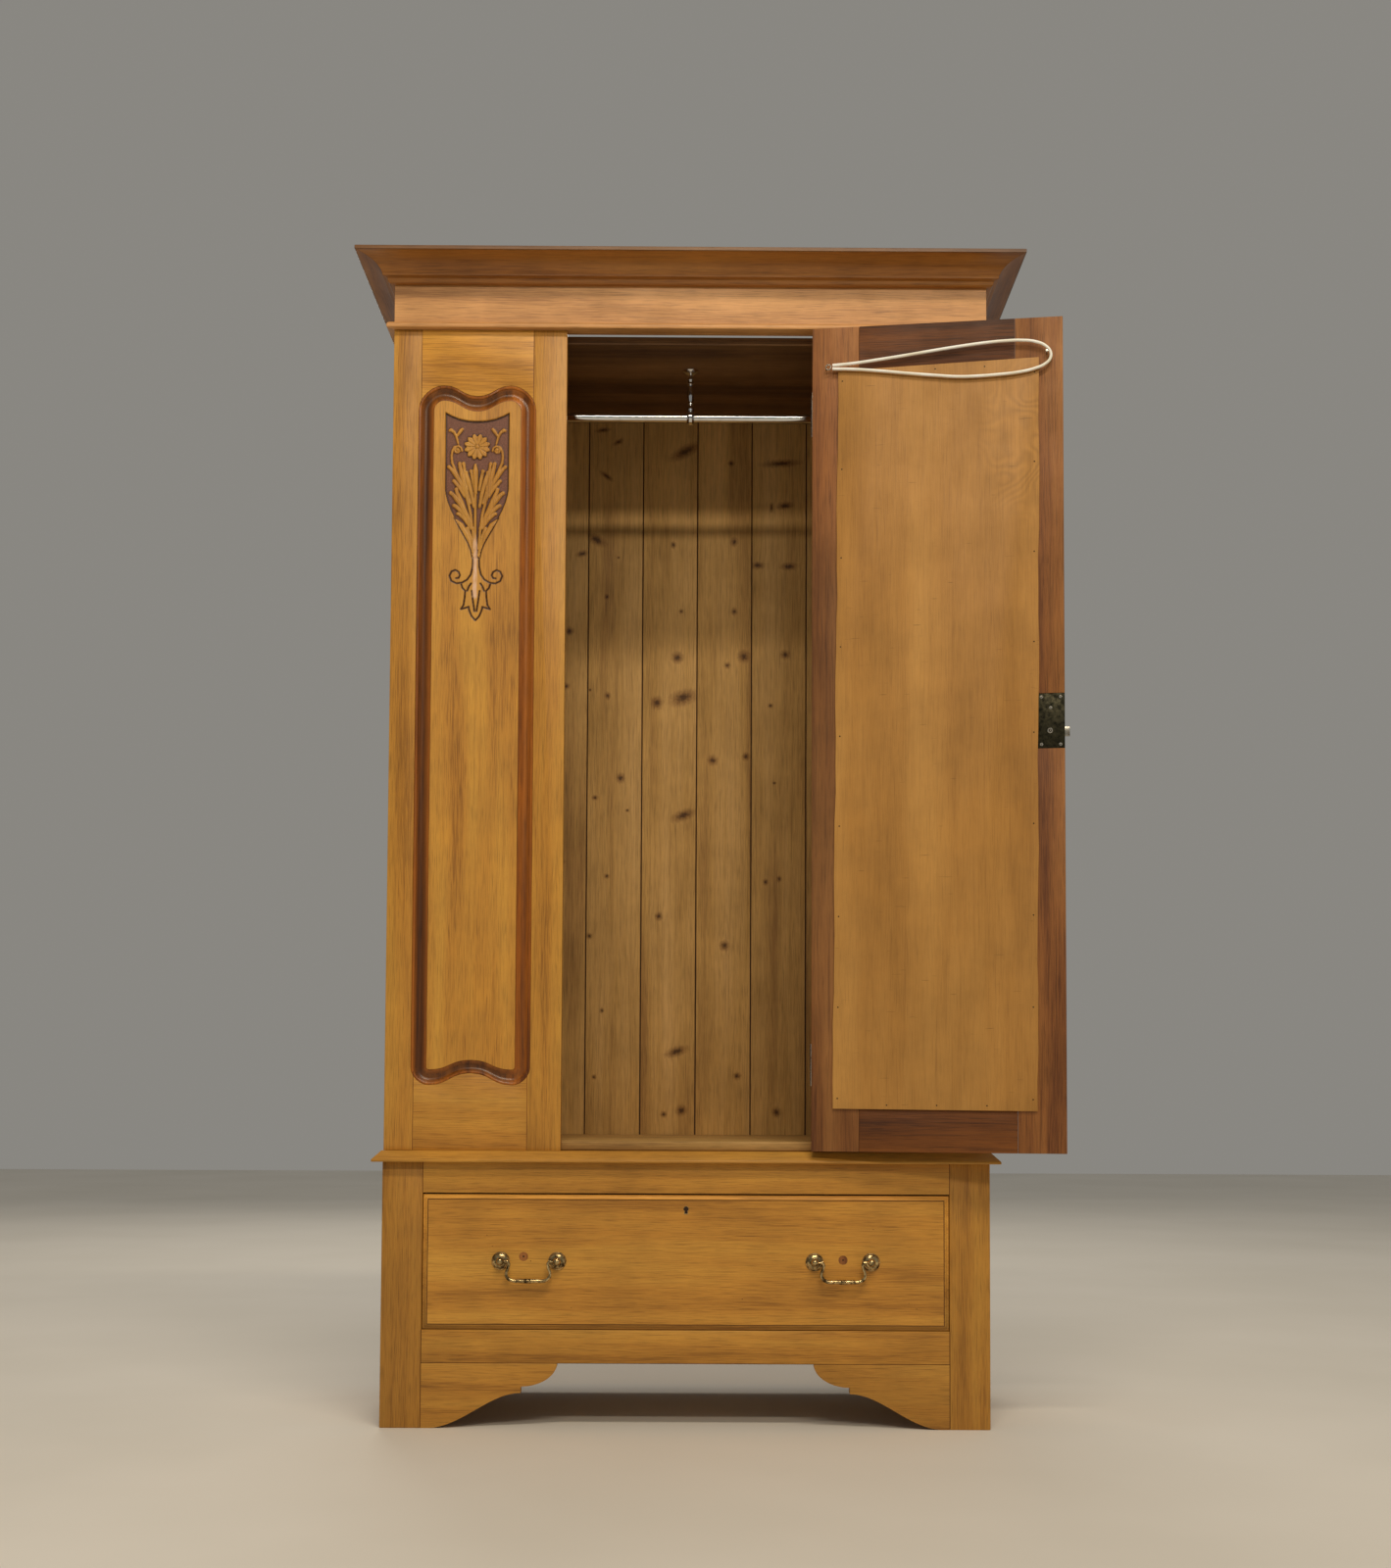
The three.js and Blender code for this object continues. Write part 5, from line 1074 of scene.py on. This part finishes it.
def make_rail():
    """Chromed steel rail, held in a cup at each side and by a turned pendant at its middle."""
    level, back = 1755.25, 150
    tube = turned([(0, -485.5), (7.4, -485.5), (8, -485), (8, 485), (7.4, 485.5), (0, 485.5)], "X", 48)
    fit("hanging_tube", moved(tube, 0, back, level), "chrome_plate", stands_for="hanging_rail", grain="x")
    cup = [(8.3, -486.3), (8.3, -478.4), (9.2, -478.2), (10.6, -478.6), (11.2, -480), (11.4, -484),
           (12.6, -485.4), (16.2, -486), (17, -486.6), (17, -488.2), (0, -488.2), (0, -486.3),
           (8.3, -486.3)]
    for which in ("left", "right"):
        piece = turned(cup, "X", 48)
        if which == "right":
            piece = mirrored(piece)
        fit(f"rail_cup_{which}", moved(piece, 0, back, level), "chrome_plate",
            stands_for=f"rail_socket_{which}")
    loop = turned([(8.3, -6.3), (11.6, -6.3), (12.4, -5.4), (11.8, -4), (12.8, -2.6), (12.8, 2.6),
                   (11.8, 4), (12.4, 5.4), (11.6, 6.3), (8.3, 6.3), (8.3, -6.3)], "X", 40)
    rim = 12.8
    stem = turned([(0, rim - 2.5), (5.5, rim - 1.5), (6.4, rim + 2), (6.2, rim + 4), (3.4, rim + 8),
                   (3, rim + 9), (3.1, rim + 11), (4.8, rim + 12.5), (4.8, rim + 15), (4.2, rim + 16),
                   (5.2, rim + 21), (6, rim + 26), (5.6, rim + 32), (4.2, rim + 38), (2.8, rim + 44),
                   (3.2, rim + 46), (5.2, rim + 48), (5.2, rim + 50), (4.2, rim + 52), (5.6, rim + 56),
                   (3.4, rim + 62), (3.4, rim + 64), (9, 80), (13, 82.6), (14, 84), (14, 85.2), (0, 85.2)],
                  steps=40)
    fit("rail_pendant", moved(together(loop, stem), 0, back, level), "chrome_plate",
        stands_for="rail_centre_support")


def make_upper_carcase():
    for side in ("left", "right"):
        fit(f"side_panel_{side}", ease(solid(f"upper_side_{side}")), "satin_walnut",
            stands_for=f"upper_side_{side}", tone=0.42)
    fit("floor_boards", ease(solid("floor_board"), 2.2), "pine", stands_for="floor_board", grain="x",
        tone=0.26)
    # The ceiling boards are painted dark, as painted shade.
    fit("ceiling_boards", ease(solid("ceiling_board")), "painted_shade_pine", stands_for="ceiling_board",
        grain="x", tone=0.2)
    make_back()
    make_rail()
    make_flank("left", -1, {"outer_stile": 0.46, "inner_stile": 0.48, "top_rail": 0.82, "foot_rail": 0.5})
    make_flank("right", 1, {"outer_stile": 0.52, "inner_stile": 0.46, "top_rail": 0.58, "foot_rail": 0.55})


# ---- Cornice ---------------------------------------------------------------------------------
CORNICE_FOOT = 1857


def cornice_run(section, which):
    """A section of (outward, up) pairs between its two mitres, or a mitre and the back."""
    if which == "front":
        ends = [[(side * (HALF - 0.25 + out), -out, CORNICE_FOOT + up) for out, up in section]
                for side in (-1, 1)]
    else:
        side = -1 if which == "left" else 1
        ends = [[(side * (HALF + out), y if y else 0.25 - out, CORNICE_FOOT + up) for out, up in section]
                for y in (0, DEPTH)]
    return loops_bridged(ends)


def make_cornice():
    frieze = [(-20, 0), (9.6, 0), (11.4, 0.7), (12, 2.2), (12, 4.6), (11.4, 7), (9.8, 9), (7.4, 10.4),
              (4, 11), (3.2, 11.9), (0, 12), (0, 123), (-20, 123)]
    foot = 77
    mould = [(0.05, foot), (5, foot), (8.4, foot + 0.8), (10.4, foot + 2.8), (11, foot + 6),
             (11.6, foot + 8.4), (14, foot + 9.8), (15.6, foot + 10.1), (18.2, foot + 10.6),
             (19, foot + 11.2), (19.3, foot + 14.5)]
    cove = bezier((19.3, foot + 14.5), (24, foot + 27), (36, foot + 36), (57, foot + 39), 14)
    mould += cove + [(59.4, foot + 39.3), (60, foot + 40), (60, 122.3), (59.3, 122.95), (0.05, 122.95)]
    for which, tone in (("front", 0.42), ("left", 0.4), ("right", 0.38)):
        node = f"cornice_{which}"
        run_of_grain = "x" if which == "front" else "y"
        fit(f"frieze_{which}", cornice_run(frieze, which), "frieze_walnut", stands_for=node,
            grain=run_of_grain, tone=0.66 if which == "front" else 0.5, crease=28)
        # The moulding is painted darker than the frieze, painted shade under its cove; its top fillet takes
        # the darkest tone.
        fit(f"cornice_moulding_{which}", cornice_run(mould, which), "redder_shaded_walnut", stands_for=node,
            grain=run_of_grain, crease=28,
            tone=lambda at, shade=tone: shade if at.z < CORNICE_FOOT + 116.2 else 0)
    fit("cornice_back", ease(solid("cornice_back_rail")), "pine", stands_for="cornice_back_rail",
        grain="x", tone=0.4)


# ---- Door ------------------------------------------------------------------------------------
def backing_outline():
    """The thin board was sawn by hand, so its long edges wander a little."""
    corners = [(-372, 529), (-37, 531), (-45, 1774.25), (-380, 1781.25)]
    edge = []
    for (x0, z0), (x1, z1) in zip(corners, corners[1:] + corners[:1]):
        upright = abs(z1 - z0) > 400
        steps = 26 if upright else 8
        for step in range(steps):
            share = step / steps
            z = z0 + (z1 - z0) * share
            wander = 0.9 * math.sin(z * 0.021 + x0) + 0.5 * math.sin(z * 0.057 + 1) if upright else 0
            edge.append((x0 + (x1 - x0) * share + (wander if step else 0), z))
    return edge


def make_door():
    # Painted light: the hinge stile is painted paler towards its top, and a little paler at its foot, than
    # in its middle.
    def painted_light_by_height(at):
        return float(np.interp(at.z, (700, 900, 1400, 1600), (0.3, 0.02, 0.02, 0.8)))
    boards = (("door_hinge_stile", "door_walnut", "z", painted_light_by_height),
              ("door_lock_stile", "door_walnut", "z", 0.55),
              ("door_top_rail", "dark_walnut", "x", 0.6), ("door_bottom_rail", "dark_walnut", "x", 0.5))
    # Inside is only oiled. The polish of the front goes round on to the first of each edge.
    for node, finish, grain, tone in boards:
        for side, look, shade in ((-1, finish, tone), (1, "satin_walnut", 0.5)):
            half = clipped(ease(solid(node, DOOR), 0.7), [((0, DOOR_FACE + 2, 0), (0, side, 0))])
            if callable(shade):
                ringed(half, (700, 900, 1400, 1600))
            fit(node + ("_board" if side < 0 else "_polish"), half, look, "door", node, grain=grain,
                tone=shade, place=DOOR)
    middle = DOOR_EDGE - DOOR_W / 2
    section = [(0.3, 13.7), (0.3, 5.9), (0.9, 5.5), (3, 5.5), (4.4, 6.2), (5, 7.4), (6.4, 8.4),
               (8.6, 10.4), (11, 11.7), (13, 12.2), (14, 12.9), (14, 13.7)]
    fit("door_ovolo", moulding(DOOR_OPENING, section, middle), "mahogany", "door", "door_moulding",
        place=DOOR)
    glass = [[(x + middle, y, z) for x, z in serpentine(*DOOR_OPENING, inside)]
             for inside, y in ((0.5, 19), (0.5, 15.6), (14, 15.2), (34, 14.05), (34.6, 14))]
    fit("door_glass", loops_bridged(glass), "mirror_glass", "door", "door_mirror", place=DOOR, crease=1)
    fit("door_back_panel", plate(backing_outline(), 27.25, 31.25, 0.6), "backing_board", "door",
        "door_backing_board", tone=0.5, place=DOOR)

    # Brads, a hand's breadth apart, hold the thin board.
    brads = []
    for step in range(9):
        z = 548 + step * 151
        for x in (-376 - 8 * (z - 530) / 1250 + 11.5, -37 - 8 * (z - 530) / 1250 - 7.5):
            brads.append((x, z))
    brads += [(x, 537.5) for x in (-290, -208, -126)] + [(x, 1769.5) for x in (-290, -208, -126)]
    heads = [moved(turned([(0, -0.6), (1.3, -0.5), (1.25, 0.06), (0, 0.16)], "Y", 12), x, 31.25, z)
             for x, z in brads]
    fit("brads", together(*heads), "lock_bronze", "door", place=DOOR)

    for which in ("lower", "upper"):
        level = 603.25 if which == "lower" else 1706.75
        fit(f"hinge_{which}_moving_leaf", ease(solid(f"hinge_{which}_door_leaf", DOOR), 0.3, 60), "steel",
            "door", f"hinge_{which}_door_leaf", place=DOOR)
        fit(f"hinge_{which}_fixed_leaf", ease(solid(f"hinge_{which}_frame_leaf"), 0.3, 60), "steel",
            stands_for=f"hinge_{which}_frame_leaf")
        screws(f"hinge_{which}_screws", [(-0.1, 15, level + rise) for rise in (-25, 0, 25)], body="door",
               place=DOOR, facing="X", side=1, proud=0.05)
        screws(f"hinge_{which}_fixed_screws", [(210.1, 10, level + rise) for rise in (-25, 0, 25)],
               facing="X", side=-1, proud=0.05)

    fit("lock_case", ease(solid("door_lock", DOOR), 0.4), "lock_bronze", "door", "door_lock", place=DOOR)
    fit("lock_tongue", ease(solid("door_lock_bolt", DOOR), 0.5), "steel", "door_bolt", "door_lock_bolt",
        place=DOOR)
    screws("lock_screws", [(-412, 27.05, 1132), (-381, 27.05, 1132), (-412, 27.05, 1211),
           (-381, 27.05, 1211), (-396, 27.05, 1193)], body="door", place=DOOR, radius=2.7)
    collar = turned([(2.1, -0.4), (4.4, -0.4), (4.6, 0.5), (3.8, 1.1), (2.6, 1.1), (2.1, 0.6),
                     (2.1, -0.4)], "Y", 32)
    drill_pin = turned([(0, -0.4), (1.1, -0.4), (1.1, 1.4), (0.7, 1.8), (0, 1.9)], "Y", 20)
    fit("lock_key_pin", moved(together(collar, drill_pin), -395, DOOR_BACK, 1155), "steel", "door",
        place=DOOR)
    # The key's well is a dark disc of painted shade.
    well = turned([(0, 0.02), (2.1, 0.02), (2.1, 0.1), (0, 0.1)], "Y", 24)
    fit("lock_key_well", moved(well, -395, DOOR_BACK, 1155), "hole_dirt_and_shade", "door", place=DOOR)

    # Screw eye: its shank runs up into the near side of its ring.
    eye_x, eye_z, out = -29, 1779.25, 36
    turns = [(eye_x + 4.2 * math.cos(angle), out, eye_z + 4.2 * math.sin(angle))
             for angle in np.linspace(0.2, math.tau - 0.1, 18)]
    shank = [(eye_x + 4.2, 27.3, eye_z - 0.4), (eye_x + 4.2, 31, eye_z - 0.3),
             (eye_x + 4.3, 34.4, eye_z - 0.2)]
    fit("screw_eye", rod(shank + turns, [1.1] * 21, 5), "steel", "door", "wire_screw_eye", place=DOOR,
        crease=60)
    nail = turned([(0, 0.25), (1.1, 0.25), (1.05, 13.8), (1.3, 14.1), (2.4, 14.4), (2.5, 15), (2.1, 15.5),
                   (0, 15.7)], "Y", 24)
    fit("hook_nail", moved(nail, -392.5, DOOR_BACK, 1787.75), "steel", "door", "wire_nail", place=DOOR)

    # An old shake opens along the lock stile below the lock, drawn as a dark sliver of painted shade.
    shake = [(-403.6, 640), (-402.9, 700), (-403.4, 780), (-402.6, 850), (-402.2, 858), (-402.9, 780),
             (-402.4, 700)]
    fit("lock_stile_shake", sawn(shake, DOOR_BACK - 0.04, DOOR_BACK + 0.04), "hole_dirt_and_shade", "door",
        place=DOOR)


# ---- Curtain wire ----------------------------------------------------------------------------
def make_wire():
    """Sprung curtain wire in a white sleeve, hooked on its screw eye by both ends and hung over a
    nail: 750 mm of it, 5 mm thick."""
    route = [(7, 3), (44, 5), (88, 9.5), (132, 14.5), (176, 20), (220, 25), (264, 29), (298, 30.5),
             (322, 30), (345, 26.5), (361, 19), (369.5, 8), (369, -3), (361, -11.5), (344, -18.5),
             (318, -23.5), (284, -26), (249, -27), (219, -26.5), (176, -22), (132, -16.5), (88, -10.5),
             (44, -5.5), (7, -3)]
    drawing = bpy.data.curves.new("sprung_wire", "CURVE")
    drawing.dimensions = "3D"
    drawing.bevel_depth = 0.0025
    drawing.bevel_resolution = 6
    drawing.use_fill_caps = True
    drawing.resolution_u = 8
    line = drawing.splines.new("BEZIER")
    line.bezier_points.add(len(route) - 1)
    for knot, (along, up) in zip(line.bezier_points, route):
        knot.co = DOOR @ Vector((DOOR_EDGE - 28 - along, 36, 1779.25 + up))
        knot.handle_left_type = knot.handle_right_type = "AUTO"
    drawing.materials.append(FINISHES["wire_sleeve"])
    wire = bpy.data.objects.new("sprung_wire", drawing)
    bpy.context.scene.collection.objects.link(wire)
    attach(wire, "door")
    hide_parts("curtain_wire")


# ---- Studio ----------------------------------------------------------------------------------
def lamp(name, at, aim, wide, high, watts, tint):
    light = bpy.data.lights.new(name, "AREA")
    light.shape = "RECTANGLE"
    light.size = wide
    light.size_y = high
    light.energy = watts
    light.color = colour(tint)[:3]
    lantern = bpy.data.objects.new(name, light)
    lantern.location = at
    lantern.rotation_euler = (Vector(aim) - Vector(at)).to_track_quat("-Z", "Y").to_euler()
    bpy.context.scene.collection.objects.link(lantern)


def make_studio():
    """A pale floor under two long soft lights, high in front, and a pale room."""
    shape = bmesh.new()
    bmesh.ops.create_grid(shape, x_segments=1, y_segments=1, size=9)
    mesh = bpy.data.meshes.new("floor")
    shape.to_mesh(mesh)
    shape.free()
    finish, tree, shader = start("pale_floor", Roughness=0.7)
    place = add(tree, "TexCoord").outputs["Object"]
    cloud = noise(tree, place, 1.5, 3)
    tint = add(tree, "ValToRGB", {0: cloud.outputs["Fac"]}, stops=[(0.3, "#dedad1"), (0.7, "#e5e1d9")])
    tree.links.new(tint.outputs["Color"], shader.inputs["Base Color"])
    mesh.materials.append(finish)
    ground = bpy.data.objects.new("floor", mesh)
    bpy.context.scene.collection.objects.link(ground)

    world = bpy.data.worlds.new("studio")
    world.use_nodes = True
    sky = world.node_tree.nodes["Background"]
    sky.inputs["Color"].default_value = colour("#ece8df")
    sky.inputs["Strength"].default_value = 0.3
    bpy.context.scene.world = world
    lamp("high_strip", (0.6, -3.3, 5.07), (0, 0, 1.1), 3.0, 0.22, 108, "#fff0d8")
    lamp("low_strip", (0.4, -4.2, 3.57), (0, 0, 1.0), 2.6, 0.22, 58, "#fff0d8")
    lamp("back_strip", (-0.8, 4.4, 3.4), (0, 0, 1.0), 2.6, 0.8, 60, "#fff4e4")
    bpy.context.scene.view_settings.view_transform = "Standard"


place_camera()
make_wire()
make_base()
make_drawer()
make_upper_carcase()
make_cornice()
make_door()
make_studio()
